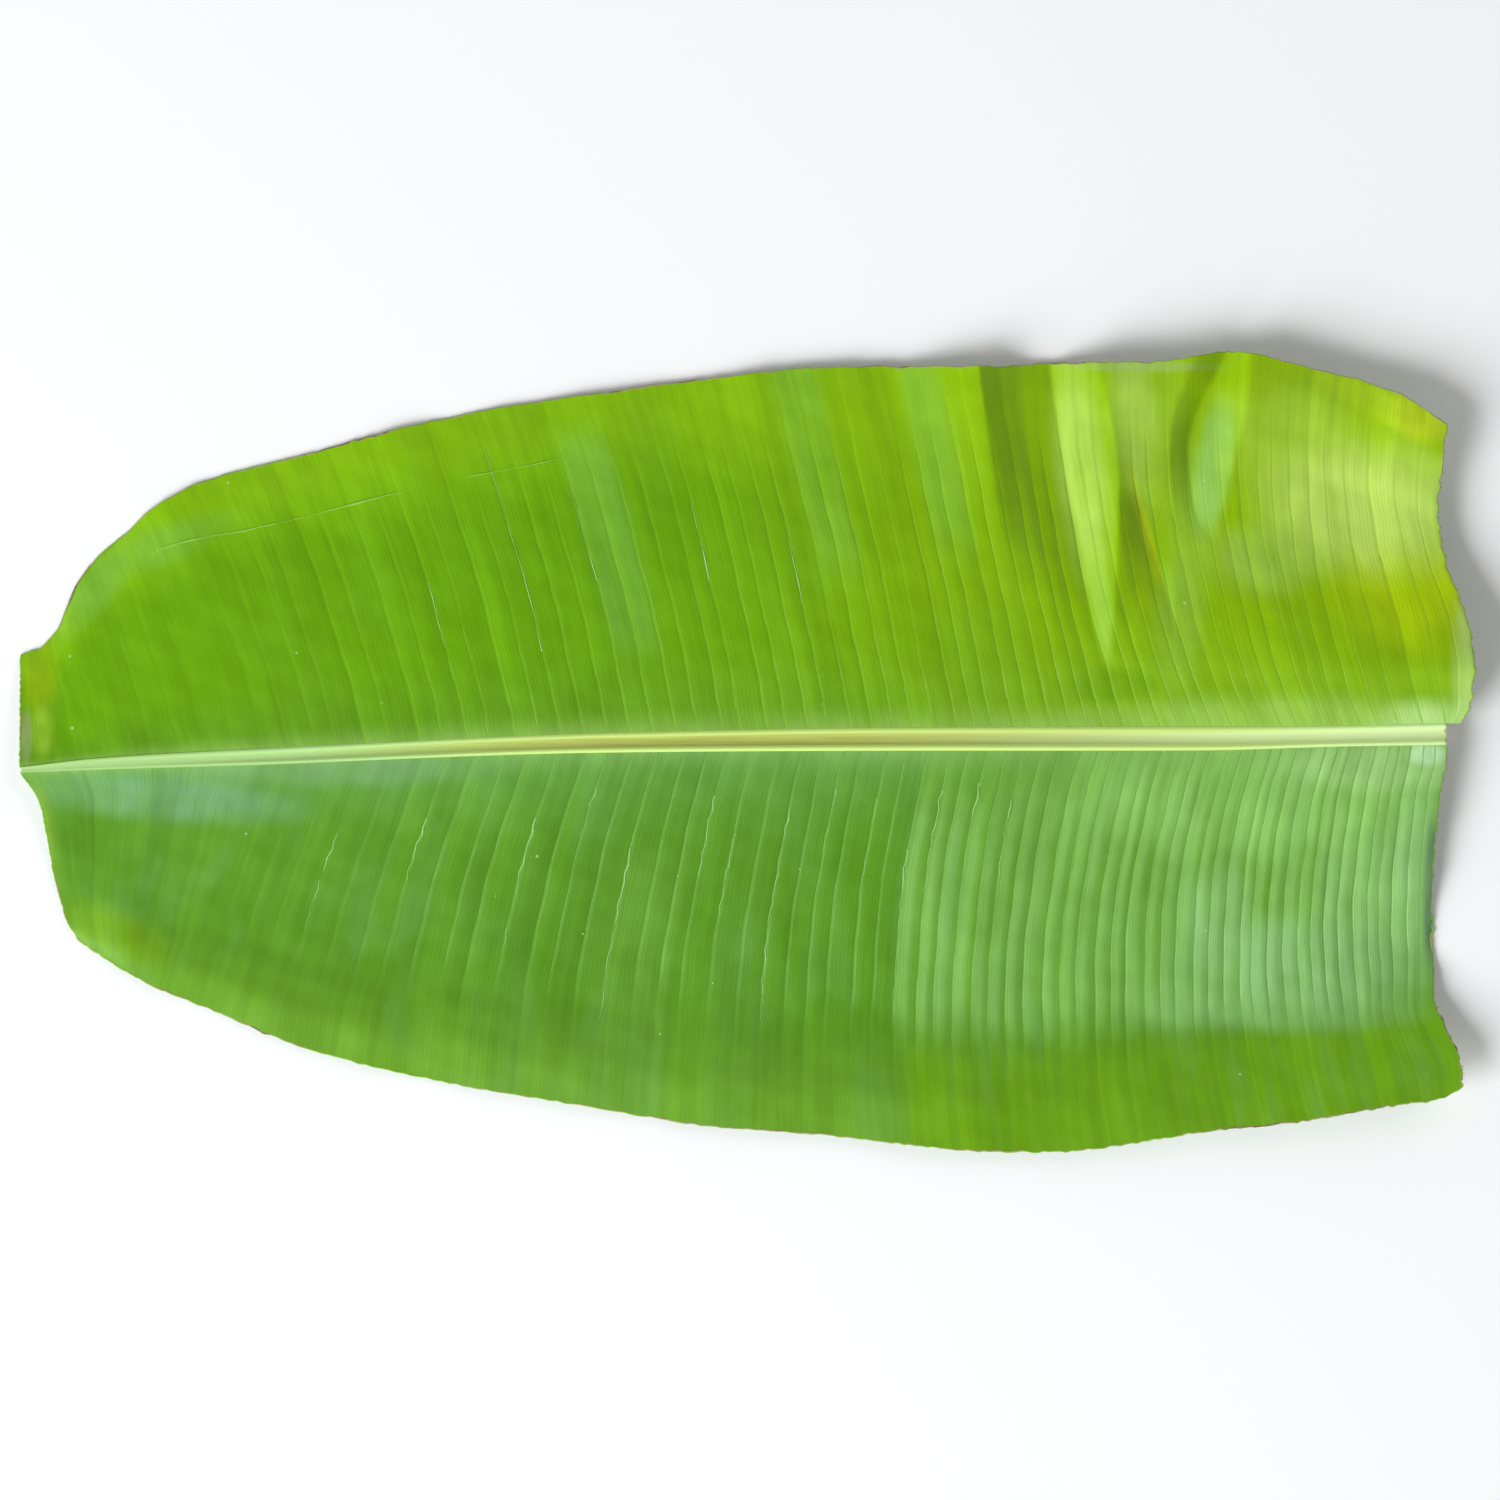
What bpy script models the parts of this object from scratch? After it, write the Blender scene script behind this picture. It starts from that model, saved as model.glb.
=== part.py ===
"""A cut length of banana leaf, lying on its keel with the upper side up.

The tip end points along -X and the cut end along +X. The origin is under the middle of the
leaf, on the surface that it lies on. Two pieces of the one grown leaf are modelled, one for
each colour that holds together: the pale midrib, a grooved bar with a rounded keel, and the
green blade, whose halves fold along their side veins and join round the midrib's thin end.
"""

from math import cos, pi, sin
from typing import NamedTuple

import bmesh
import bpy
import numpy as np

# Driving dimensions, in metres.
TIP_X = -0.300
MIDRIB_END_X = 0.289
BLADE_THICKNESS = 0.0007
SEAM_GAP = 0.0003

# Side veins: each lies in a groove, and the blade arches between them. They come closer
# together towards the cut end.
VEINS_A_SIDE = 68
SPACING_AT_TIP = 1.33
ARCH_HEIGHT = 0.0009
# Rows of the blade's mesh, at shares of the way from the midrib to the margin.
ROWS = (0, 0.07, 0.17, 0.30, 0.44, 0.58, 0.72, 0.86, 1)

# Midrib: its line in plan, its width, its depth from lips to keel, and the height of its keel
# over the surface, which it leaves towards the tip.
MIDRIB_STATIONS = 34
AXIS_X = (TIP_X, -0.268, -0.200, -0.061, 0.063, 0.187, 0.250, MIDRIB_END_X)
AXIS_Y = (-0.0074, -0.0050, -0.0019, 0.0037, 0.0053, 0.0056, 0.0066, 0.0074)
WIDTHS = (0.0022, 0.0048, 0.0068, 0.0088, 0.0106, 0.0110, 0.0094, 0.0098)
DEPTH_X = (TIP_X, -0.200, -0.061, 0.100, MIDRIB_END_X)
DEPTHS = (0.0024, 0.0046, 0.0076, 0.0100, 0.0120)
LIFT_X = (TIP_X, -0.200, -0.100, 0.000)
LIFTS = (0.0065, 0.0040, 0.0015, 0.0000)
GROOVE_SHARE = 0.17
FLAT_HALF_WIDTH = 0.0020
# The highest line of each lip, as a share of the half width.
LIP_SHARE = 0.72
# Angles, from the side down to the belly, at which the keel's round flank has its edges.
FLANK_ANGLES = (pi / 2, 1.2, 0.85, 0.5, 0)

# Shares of the leaf's length, from tip to cut, at which the heights of each half are given.
ALONG = (0, 0.13, 0.35, 0.60, 0.82, 1)
# Slow waves towards each margin: length, height and start of each.
WAVES = ((0.083, 0.0006, 0.4), (0.047, 0.0003, 2.1))
# How far along the leaf the tip's and the cut's own waviness reach in.
TIP_REACH = 0.12
CUT_REACH = 0.75


class Half(NamedTuple):
    """The shape of the blade on one side of the midrib, with v from midrib to margin."""

    side: int
    # The margin's line, from the tip to the cut end.
    margin_x: tuple
    margin_y: tuple
    # How far each vein's outer end lies towards the tip from its foot, and how far its
    # middle bows that way past the straight line.
    sweep_t: tuple
    sweep: tuple
    bow: tuple
    # The first and the last vein, which are the tip's edge and the cut, wave in and out.
    tip_v: tuple
    tip_wave: tuple
    cut_v: tuple
    cut_wave: tuple
    # Heights over the surface past the midrib: a row for each of ALONG.
    across: tuple
    heights: tuple
    wave_start: float
    # How strongly the blade arches between its veins, for each of ALONG.
    arching: tuple


FAR = Half(
    side=1,
    margin_x=(
        TIP_X, -0.2921, -0.2880, -0.2839, -0.2815, -0.2770, -0.2728, -0.2646, -0.2558, -0.2467,
        -0.226, -0.185, -0.143, -0.102, -0.061, -0.019, 0.042, 0.104, 0.129, 0.165,
        0.202, 0.229, 0.268, 0.289,
    ),
    margin_y=(
        0.0400, 0.0428, 0.0468, 0.0524, 0.0587, 0.0690, 0.0753, 0.0835, 0.0905, 0.0992,
        0.1110, 0.1220, 0.1335, 0.1420, 0.1480, 0.1537, 0.1590, 0.1590, 0.1605, 0.1605,
        0.1650, 0.1590, 0.1480, 0.1350,
    ),
    sweep_t=(0, 0.04, 0.09, 0.16, 0.35, 0.60, 0.80, 0.92, 1),
    sweep=(0.000, 0.015, 0.029, 0.039, 0.036, 0.031, 0.027, 0.018, 0.000),
    bow=(0.000, 0.000, -0.001, -0.003, -0.003, -0.003, -0.002, 0.000, 0.000),
    tip_v=(0, 1),
    tip_wave=(0, 0),
    cut_v=(0, 0.06, 0.18, 0.30, 0.41, 0.52, 0.60, 0.72, 0.86, 1),
    cut_wave=(0.0056, 0.0094, 0.0109, 0.0094, 0.0050, 0.0000, -0.0022, -0.0040, -0.0022, 0.0000),
    across=(0.08, 0.18, 0.40, 0.64, 0.80, 0.92, 1),
    heights=(
        (0.0080, 0.0074, 0.0060, 0.0044, 0.0030, 0.0020, 0.0010),
        (0.0080, 0.0078, 0.0066, 0.0046, 0.0030, 0.0022, 0.0010),
        (0.0088, 0.0095, 0.0084, 0.0060, 0.0044, 0.0034, 0.0018),
        (0.0112, 0.0128, 0.0120, 0.0092, 0.0074, 0.0064, 0.0050),
        (0.0150, 0.0180, 0.0146, 0.0112, 0.0104, 0.0112, 0.0098),
        (0.0165, 0.0215, 0.0142, 0.0104, 0.0124, 0.0164, 0.0152),
    ),
    wave_start=0,
    arching=(0.25, 0.25, 0.3, 0.35, 0.4, 0.4),
)
NEAR = Half(
    side=-1,
    margin_x=(
        -0.276, -0.269, -0.247, -0.226, -0.185, -0.143, -0.102, -0.061, -0.019,
        0.022, 0.063, 0.104, 0.126, 0.186, 0.228, 0.268, 0.287, 0.295,
    ),
    margin_y=(
        -0.0777, -0.0827, -0.0958, -0.1042, -0.1214, -0.1323, -0.1404, -0.1470, -0.1540,
        -0.1572, -0.1616, -0.1650, -0.1650, -0.1570, -0.1525, -0.1455, -0.1427, -0.1380,
    ),
    sweep_t=(0, 0.06, 0.12, 0.19, 0.31, 0.47, 0.56, 0.70, 0.82, 0.93, 1),
    sweep=(-0.024, 0.005, 0.027, 0.037, 0.031, 0.019, 0.012, 0.010, 0.004, -0.002, -0.006),
    bow=(0.000, 0.000, 0.001, 0.002, 0.005, 0.005, 0.007, 0.010, 0.011, 0.011, 0.011),
    tip_v=(0, 0.18, 0.39, 0.66, 0.88, 1),
    tip_wave=(0.0000, 0.0036, 0.0018, -0.0013, -0.0021, 0.0000),
    cut_v=(0, 0.06, 0.12, 0.22, 0.33, 0.54, 0.64, 0.76, 0.83, 0.90, 1),
    cut_wave=(0.0000, 0.0016, 0.0012, 0.0020, 0.0025, 0.0018, 0.0010, -0.0014, 0.0010, 0.0030, 0.0004),
    across=(0.12, 0.35, 0.58, 0.70, 0.80, 0.90, 1),
    heights=(
        (0.0064, 0.0040, 0.0026, 0.0020, 0.0022, 0.0024, 0.0018),
        (0.0062, 0.0034, 0.0014, 0.0012, 0.0024, 0.0034, 0.0024),
        (0.0072, 0.0044, 0.0014, 0.0006, 0.0022, 0.0040, 0.0036),
        (0.0090, 0.0066, 0.0024, 0.0006, 0.0022, 0.0052, 0.0060),
        (0.0104, 0.0082, 0.0028, 0.0008, 0.0036, 0.0072, 0.0105),
        (0.0112, 0.0085, 0.0018, 0.0050, 0.0090, 0.0130, 0.0165),
    ),
    wave_start=1.3,
    arching=(0.2, 0.3, 0.45, 0.6, 0.7, 0.7),
)


class FoldLine(NamedTuple):
    """A crease or crest across the far half: its shares v, its place along X, its height."""

    v: tuple
    x: tuple
    height: tuple


# The fold lines near the cut end, from left to right.
FOLD_LINES = (
    FoldLine((0.35, 1), (0.080, 0.060), (0, 0)),
    FoldLine((0.35, 0.46, 0.70, 1), (0.112, 0.109, 0.102, 0.0957), (0, 0.0012, 0.0038, 0.0056)),
    FoldLine((0.35, 0.60, 1), (0.126, 0.1200, 0.1125), (0, -0.0018, -0.0024)),
    FoldLine((0.17, 0.30, 0.60, 1), (0.1465, 0.142, 0.134, 0.1250), (0, -0.0013, -0.0036, -0.0046)),
    FoldLine((0.15, 0.30, 0.51, 0.625, 0.76, 1), (0.1490, 0.1512, 0.1530, 0.1536, 0.1524, 0.1450),
             (0, 0.0026, 0.0046, 0.0062, 0.0058, 0.0046)),
    FoldLine((0.10, 0.17, 0.415, 0.60, 0.70, 1), (0.187, 0.1813, 0.1710, 0.1618, 0.1595, 0.157),
             (0, 0, -0.0012, 0.0004, 0.0046, 0.0046)),
    FoldLine((0.60, 0.73, 0.84, 1), (0.176, 0.1745, 0.1758, 0.186), (0, 0.0016, 0.0036, 0.0040)),
    FoldLine((0.50, 0.62, 0.755, 1), (0.1903, 0.184, 0.182, 0.198), (0, -0.0026, -0.0038, -0.0014)),
    FoldLine((0.50, 0.66, 0.82, 1), (0.1935, 0.199, 0.2052, 0.2080), (0, 0.0034, 0.0056, 0.0042)),
    FoldLine((0.45, 0.70, 1), (0.222, 0.238, 0.245), (0, 0, 0)),
)
LEAST_FOLD_WIDTH = 0.003

LEAF_GREEN = (0.150, 0.360, 0.022, 1)
MIDRIB_GREEN = (0.500, 0.620, 0.150, 1)


def smooth_through(stations, values, at):
    """The value at each place of a smooth curve that never swings past its points.

    A value may be a number, or an array with one entry for each place.
    """
    x = np.asarray(stations, float)
    at = np.clip(np.asarray(at, float), x[0], x[-1])
    y = np.stack([np.broadcast_to(value, at.shape) for value in values])
    step = np.diff(x).reshape((-1,) + (1,) * at.ndim)
    slope = np.diff(y, axis=0) / step
    both = slope[:-1] * slope[1:]
    mean = both / np.where(both > 0, (slope[:-1] + slope[1:]) / 2, 1)
    grade = np.concatenate([slope[:1], np.where(both > 0, mean, 0), slope[-1:]])
    k = np.clip(np.searchsorted(x, at, side="right") - 1, 0, len(x) - 2)
    here = (k,) + tuple(np.indices(at.shape))
    after = (k + 1,) + tuple(np.indices(at.shape))
    width = x[k + 1] - x[k]
    f = (at - x[k]) / width
    return (
        y[here] * (1 + 2 * f) * (1 - f) ** 2
        + width * grade[here] * f * (1 - f) ** 2
        + y[after] * f * f * (3 - 2 * f)
        + width * grade[after] * f * f * (f - 1)
    )


def ease(low, high, at):
    """0 before low, 1 after high, with a soft start and end."""
    f = np.clip((at - low) / (high - low), 0, 1)
    return f * f * (3 - 2 * f)


def axis_y(x):
    return smooth_through(AXIS_X, AXIS_Y, x)


def midrib_width(x):
    return smooth_through(AXIS_X, WIDTHS, x)


def keel_height(x):
    return smooth_through(LIFT_X, LIFTS, x)


def midrib_top(x):
    """Height of the midrib's two lips over the surface."""
    return keel_height(x) + smooth_through(DEPTH_X, DEPTHS, x)


def vein_foot_x(t):
    """Where on the midrib vein t starts, with t from 0 at the tip to 1 at the cut end."""
    share = SPACING_AT_TIP * t + (1 - SPACING_AT_TIP) * t * t
    return TIP_X + (MIDRIB_END_X - TIP_X) * share


def fold_height(x, v):
    """Height that the folds near the cut end add to the far half."""
    total = np.zeros_like(x)
    for line, following in zip(FOLD_LINES, FOLD_LINES[1:]):
        left = smooth_through(line.v, line.x, v)
        right = smooth_through(following.v, following.x, v)
        right = np.maximum(right, left + LEAST_FOLD_WIDTH)
        f = (x - left) / (right - left)
        height = smooth_through(line.v, line.height, v) * (1 - f)
        height = height + smooth_through(following.v, following.height, v) * f
        total = np.where((f >= 0) & (f < 1), height, total)
    return total


def slow_waves(x, v, start):
    total = sum(
        height * np.sin(2 * pi * x / length + phase + start)
        for length, height, phase in WAVES
    )
    return total * ease(0.35, 1, v)


def arches(half, t, v):
    """How the blade arches up between its veins, less by the midrib and the margin."""
    crest = -np.cos(2 * pi * VEINS_A_SIDE * t) / 2
    fade = ease(0, 0.1, v) * (1 - 0.7 * ease(0.62, 0.9, v))
    return ARCH_HEIGHT * crest * fade * smooth_through(ALONG, half.arching, t)


def half_blade(half, t, v):
    """Points of the blade's middle surface: t along the leaf, v from the midrib out."""
    foot_x = vein_foot_x(t)
    base_x = foot_x + half.cut_wave[0] * ease(CUT_REACH, 1, t)
    foot_y = axis_y(base_x) + half.side * (midrib_width(base_x) / 2 + SEAM_GAP)
    out_x = foot_x - smooth_through(half.sweep_t, half.sweep, t)
    out_y = smooth_through(half.margin_x, half.margin_y, out_x)
    bow = smooth_through(half.sweep_t, half.bow, t)
    x = foot_x + (out_x - foot_x) * v - bow * 4 * v * (1 - v)
    x = x + smooth_through(half.tip_v, half.tip_wave, v) * (1 - ease(0, TIP_REACH, t))
    x = x + smooth_through(half.cut_v, half.cut_wave, v) * ease(CUT_REACH, 1, t)
    y = foot_y + (out_y - foot_y) * v
    joint = midrib_top(foot_x) - BLADE_THICKNESS
    rows = [smooth_through((0, *half.across), (joint, *row), v) for row in half.heights]
    z = smooth_through(ALONG, rows, t)
    z = z + slow_waves(x, v, half.wave_start) + arches(half, t, v)
    if half is FAR:
        z = z + fold_height(x, v)
    return x, y, np.maximum(z, BLADE_THICKNESS / 2)


def add_object(name, mesh_maker, colour, roughness, collection):
    """A new object from a bmesh, with its own material, in the leaf's collection."""
    mesh = bpy.data.meshes.new(name)
    mesh_maker.to_mesh(mesh)
    mesh_maker.free()
    material = bpy.data.materials.new(name)
    material.use_nodes = True
    shader = material.node_tree.nodes["Principled BSDF"]
    shader.inputs["Base Color"].default_value = colour
    shader.inputs["Roughness"].default_value = roughness
    shader.inputs["Metallic"].default_value = 0
    mesh.materials.append(material)
    made = bpy.data.objects.new(name, mesh)
    collection.objects.link(made)
    return made


def make_blade(collection):
    """One sheet with a slot for the midrib, open at the cut end, thickened by Solidify."""
    columns = 2 * VEINS_A_SIDE
    rows_a_side = len(ROWS) - 1
    rows = 2 * rows_a_side + 1
    grid = bmesh.new()
    bmesh.ops.create_grid(grid, x_segments=columns, y_segments=rows, size=1)
    slot = [
        face
        for face in grid.faces
        if abs(face.calc_center_median().y) < 1 / rows
        and face.calc_center_median().x > -1 + 2 / columns
    ]
    t = np.array([(vert.co.x + 1) / 2 for vert in grid.verts])
    row = np.array([round((vert.co.y + 1) / 2 * rows) for vert in grid.verts])
    far = row > rows_a_side
    v = np.take(ROWS, np.where(far, row - rows_a_side - 1, rows_a_side - row))
    points = np.where(far, half_blade(FAR, t, v), half_blade(NEAR, t, v))
    for vert, point in zip(grid.verts, points.T):
        vert.co = point
    bmesh.ops.delete(grid, geom=slot, context="FACES_ONLY")
    loose = [edge for edge in grid.edges if not edge.link_faces]
    bmesh.ops.delete(grid, geom=loose, context="EDGES")
    bmesh.ops.triangulate(grid, faces=grid.faces[:], quad_method="SHORT_EDGE")
    blade = add_object("blade", grid, LEAF_GREEN, 0.42, collection)
    solidify = blade.modifiers.new("thickness", "SOLIDIFY")
    solidify.thickness = BLADE_THICKNESS
    solidify.offset = 0


def midrib_section(x):
    """The midrib's outline at x: points (y, z), round from the groove."""
    half = float(midrib_width(x)) / 2
    top = float(midrib_top(x))
    keel = float(keel_height(x))
    groove = 2 * half * GROOVE_SHARE
    flank = top - 2 * BLADE_THICKNESS - keel
    flat = min(FLAT_HALF_WIDTH, 0.55 * half)
    over = [
        (0.0, top - groove),
        (0.50 * half, top - 0.72 * groove),
        (LIP_SHARE * half, top),
        (half, top - 0.6 * BLADE_THICKNESS),
    ]
    under = [
        (flat + (half - flat) * sin(angle), keel + flank * (1 - cos(angle)))
        for angle in FLANK_ANGLES
    ]
    right = over + under
    left = [(-y, z) for y, z in right[:0:-1]]
    return right + left


def make_midrib(collection):
    """A bar lofted through its sections, from the thin end to the cut."""
    bar = bmesh.new()
    thin_end = vein_foot_x(0.5 / VEINS_A_SIDE) + 2 * SEAM_GAP
    rings = []
    for x in np.linspace(thin_end, MIDRIB_END_X, MIDRIB_STATIONS + 1):
        middle = float(axis_y(x))
        rings.append([bar.verts.new((x, middle + y, z)) for y, z in midrib_section(x)])
    for one, other in zip(rings, rings[1:]):
        for k in range(len(one)):
            bar.faces.new((one[k - 1], one[k], other[k], other[k - 1]))
    bar.faces.new(rings[0])
    bar.faces.new(rings[-1][::-1])
    bmesh.ops.recalc_face_normals(bar, faces=bar.faces[:])
    bmesh.ops.triangulate(bar, faces=bar.faces[:])
    midrib = add_object("midrib", bar, MIDRIB_GREEN, 0.5, collection)
    midrib.data.shade_smooth()
    midrib.data.set_sharp_from_angle(angle=pi / 5)


def main():
    for old in list(bpy.data.objects):
        bpy.data.objects.remove(old)
    collection = bpy.data.collections.new("banana_leaf")
    bpy.context.scene.collection.children.link(collection)
    make_blade(collection)
    make_midrib(collection)


main()
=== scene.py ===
from math import cos, pi, radians, sin
from typing import NamedTuple

import bpy
import numpy as np
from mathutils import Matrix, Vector


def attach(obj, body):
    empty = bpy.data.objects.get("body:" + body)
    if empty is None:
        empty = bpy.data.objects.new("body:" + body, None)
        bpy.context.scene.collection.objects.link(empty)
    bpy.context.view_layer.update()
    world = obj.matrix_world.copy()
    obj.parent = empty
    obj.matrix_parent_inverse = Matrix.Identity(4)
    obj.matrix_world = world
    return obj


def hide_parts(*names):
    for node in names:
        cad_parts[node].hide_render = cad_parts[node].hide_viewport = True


# A cut length of banana leaf, laid flat with its upper side up. The tip end points along -X
# and the cut end along +X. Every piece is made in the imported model's own frame, in metres.

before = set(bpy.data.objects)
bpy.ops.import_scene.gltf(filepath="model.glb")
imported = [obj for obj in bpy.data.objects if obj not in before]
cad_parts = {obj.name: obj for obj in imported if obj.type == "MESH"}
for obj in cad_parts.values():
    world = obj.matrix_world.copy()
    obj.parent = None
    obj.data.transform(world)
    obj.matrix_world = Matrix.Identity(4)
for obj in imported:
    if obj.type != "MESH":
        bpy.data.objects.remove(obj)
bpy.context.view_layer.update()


# Blade. The real blade is one thin waxed sheet of leaf tissue, which grew rolled up and opened
# out on both sides of the midrib. It arches between its side veins, sags along the middle of
# its near half, and lies in two loose folds near the cut end of its far half.

TIP_X = -0.300
CUT_X = 0.289
BLADE_THICKNESS = 0.0007
# How deep the blade's base sits in the midrib's shoulder.
TUCK = 0.0004
# Panels on each half, with a vein between every two of them, and how much wider they are at
# the tip than on average.
VEINS_A_SIDE = 68
SPACING_AT_TIP = 1.33
# How high the blade arches between two veins, how round, and how unlike one another.
ARCH_HEIGHT = 0.0009
ARCH_ROUNDNESS = 0.8
ARCH_SPREAD = 0.2
# Columns of the mesh in each panel between two veins, crowded beside the vein's groove.
PANEL_COLUMNS = (0, 0.05, 0.14, 0.28, 0.43, 0.57, 0.72, 0.86, 0.95)
BLADE_ROWS = 58
# The cut, the torn tip and the margins are ragged by this much, in so many jags.
RAGGED_CUT = 0.00045
RAGGED_MARGIN = 0.00022
JAGS_OF_CUT = 70
JAGS_OF_MARGIN = 240
# Seeds of what differs from vein to vein and of the jags.
STRAY_SEED = 11
ARCH_SEED = 21
CUT_SEED = 31
MARGIN_SEED = 41

# The midrib's line in plan, its width, its depth and the height of its keel.
AXIS_X = (TIP_X, -0.268, -0.200, -0.061, 0.063, 0.187, 0.250, CUT_X)
AXIS_Y = (-0.0074, -0.0050, -0.0019, 0.0037, 0.0053, 0.0056, 0.0066, 0.0074)
WIDTHS = (0.0022, 0.0048, 0.0068, 0.0088, 0.0106, 0.0110, 0.0094, 0.0098)
DEPTH_X = (TIP_X, -0.200, -0.061, 0.100, CUT_X)
DEPTHS = (0.0024, 0.0046, 0.0076, 0.0100, 0.0120)
LIFT_X = (TIP_X, -0.200, -0.100, 0.000)
LIFTS = (0.0065, 0.0040, 0.0015, 0.0000)

# Shares of the leaf's length, from tip to cut, at which the heights of each half are given.
ALONG = (0, 0.13, 0.35, 0.60, 0.82, 1)
# Slow waves towards each margin: length, height and start of each.
WAVES = ((0.083, 0.0006, 0.4), (0.047, 0.0003, 2.1))
# No two panels are quite alike: how far a vein strays from its even place, in panels, and how
# it wavers on its way out, in metres.
STRAY = 0.10
WAVERS = ((0.00024, 2.3, 0.06), (0.00014, 5.7, 0.15))
# Slight unevenness all over: length, heading and height of each ripple.
RIPPLES = ((0.034, 0.5, 0.00016), (0.021, 2.3, 0.00011), (0.013, 1.2, 0.00006))
# Shares of the leaf's length between which the tip's wave fades out and the cut's fades in.
TIP_REACH = 0.12
CUT_REACH = 0.90
# How many panels give room where the cut's corner is cut back.
CORNER_PANELS = 2.5
# How far the near half's cut edge is rolled down along its middle.
CUT_TURN_DOWN = 0.0016


class Half(NamedTuple):
    """The shape of the blade on one side of the midrib, with v from midrib to margin."""

    side: int
    # How much closer the veins lie at the cut than their common spacing, and wider at the tip.
    crowding: float
    margin_x: tuple
    margin_y: tuple
    # How far each vein's outer end lies towards the tip from its foot, and how far its
    # middle bows that way past the straight line.
    sweep_t: tuple
    sweep: tuple
    bow: tuple
    # The first and the last vein, which are the tip's edge and the cut, wave in and out.
    tip_v: tuple
    tip_wave: tuple
    cut_v: tuple
    cut_wave: tuple
    # How far the cut's corner beside the midrib is cut back, for the first places of cut_v.
    corner: tuple
    # Heights over the table past the midrib: a row for each of ALONG.
    across: tuple
    heights: tuple
    wave_start: float
    # How strongly the blade arches between its veins, for each of ALONG.
    arching: tuple


FAR = Half(
    side=1,
    crowding=0,
    margin_x=(
        TIP_X, -0.2921, -0.2880, -0.2839, -0.2815, -0.2770, -0.2728, -0.2646, -0.2558, -0.2467,
        -0.226, -0.185, -0.143, -0.102, -0.061, -0.019, 0.042, 0.104, 0.129, 0.165,
        0.202, 0.229, 0.268, 0.289,
    ),
    margin_y=(
        0.0400, 0.0428, 0.0468, 0.0524, 0.0587, 0.0690, 0.0753, 0.0835, 0.0905, 0.0992,
        0.1110, 0.1220, 0.1335, 0.1420, 0.1480, 0.1537, 0.1590, 0.1590, 0.1605, 0.1605,
        0.1650, 0.1590, 0.1480, 0.1350,
    ),
    sweep_t=(0, 0.04, 0.09, 0.16, 0.35, 0.60, 0.80, 0.92, 1),
    sweep=(0.000, 0.015, 0.029, 0.039, 0.036, 0.031, 0.027, 0.018, 0.000),
    bow=(0.000, 0.000, -0.001, -0.003, -0.003, 0.000, 0.009, 0.010, 0.010),
    tip_v=(0, 1),
    tip_wave=(0, 0),
    cut_v=(0, 0.06, 0.18, 0.30, 0.41, 0.52, 0.60, 0.72, 0.86, 1),
    cut_wave=(0.0150, 0.0157, 0.0168, 0.0178, 0.0147, 0.0100, 0.0074, 0.0041, 0.0026, 0.0000),
    corner=(0.0094, 0.0040, 0),
    across=(0.08, 0.18, 0.40, 0.64, 0.80, 0.92, 1),
    heights=(
        (0.0080, 0.0074, 0.0060, 0.0044, 0.0030, 0.0020, 0.0010),
        (0.0080, 0.0078, 0.0066, 0.0046, 0.0030, 0.0022, 0.0010),
        (0.0088, 0.0095, 0.0084, 0.0060, 0.0044, 0.0034, 0.0018),
        (0.0112, 0.0128, 0.0120, 0.0092, 0.0074, 0.0064, 0.0050),
        (0.0150, 0.0180, 0.0146, 0.0112, 0.0104, 0.0112, 0.0098),
        (0.0165, 0.0215, 0.0142, 0.0104, 0.0124, 0.0164, 0.0152),
    ),
    wave_start=0,
    arching=(0.25, 0.25, 0.3, 0.27, 0.17, 0.13),
)
NEAR = Half(
    side=-1,
    crowding=0.22,
    margin_x=(
        -0.276, -0.269, -0.247, -0.226, -0.185, -0.143, -0.102, -0.061, -0.019,
        0.022, 0.063, 0.104, 0.126, 0.186, 0.228, 0.268, 0.287, 0.295,
    ),
    margin_y=(
        -0.0777, -0.0827, -0.0958, -0.1042, -0.1214, -0.1323, -0.1404, -0.1470, -0.1540,
        -0.1572, -0.1616, -0.1650, -0.1650, -0.1570, -0.1525, -0.1455, -0.1427, -0.1380,
    ),
    sweep_t=(0, 0.06, 0.12, 0.19, 0.31, 0.47, 0.56, 0.70, 0.82, 0.93, 1),
    sweep=(-0.024, 0.005, 0.027, 0.037, 0.031, 0.019, 0.012, 0.010, 0.004, -0.002, -0.006),
    bow=(0.000, 0.000, 0.001, 0.002, 0.005, 0.005, 0.007, 0.010, 0.011, 0.011, 0.011),
    tip_v=(0, 0.18, 0.39, 0.66, 0.88, 1),
    tip_wave=(0.0000, 0.0036, 0.0018, -0.0013, -0.0021, 0.0000),
    cut_v=(0, 0.06, 0.12, 0.22, 0.33, 0.54, 0.64, 0.76, 0.83, 0.90, 1),
    cut_wave=(0.0000, 0.0016, 0.0012, 0.0020, 0.0025, 0.0018, 0.0010, -0.0014, 0.0010, 0.0030, 0.0004),
    corner=(0, 0, 0),
    across=(0.12, 0.35, 0.58, 0.70, 0.80, 0.90, 1),
    heights=(
        (0.0064, 0.0040, 0.0026, 0.0020, 0.0022, 0.0024, 0.0018),
        (0.0062, 0.0034, 0.0014, 0.0012, 0.0024, 0.0034, 0.0024),
        (0.0072, 0.0044, 0.0014, 0.0006, 0.0022, 0.0040, 0.0036),
        (0.0090, 0.0066, 0.0024, 0.0006, 0.0022, 0.0052, 0.0060),
        (0.0104, 0.0082, 0.0028, 0.0008, 0.0036, 0.0072, 0.0105),
        (0.0112, 0.0085, 0.0018, 0.0050, 0.0090, 0.0130, 0.0165),
    ),
    wave_start=1.3,
    arching=(0.2, 0.3, 0.45, 0.5, 0.45, 0.45),
)


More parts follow.
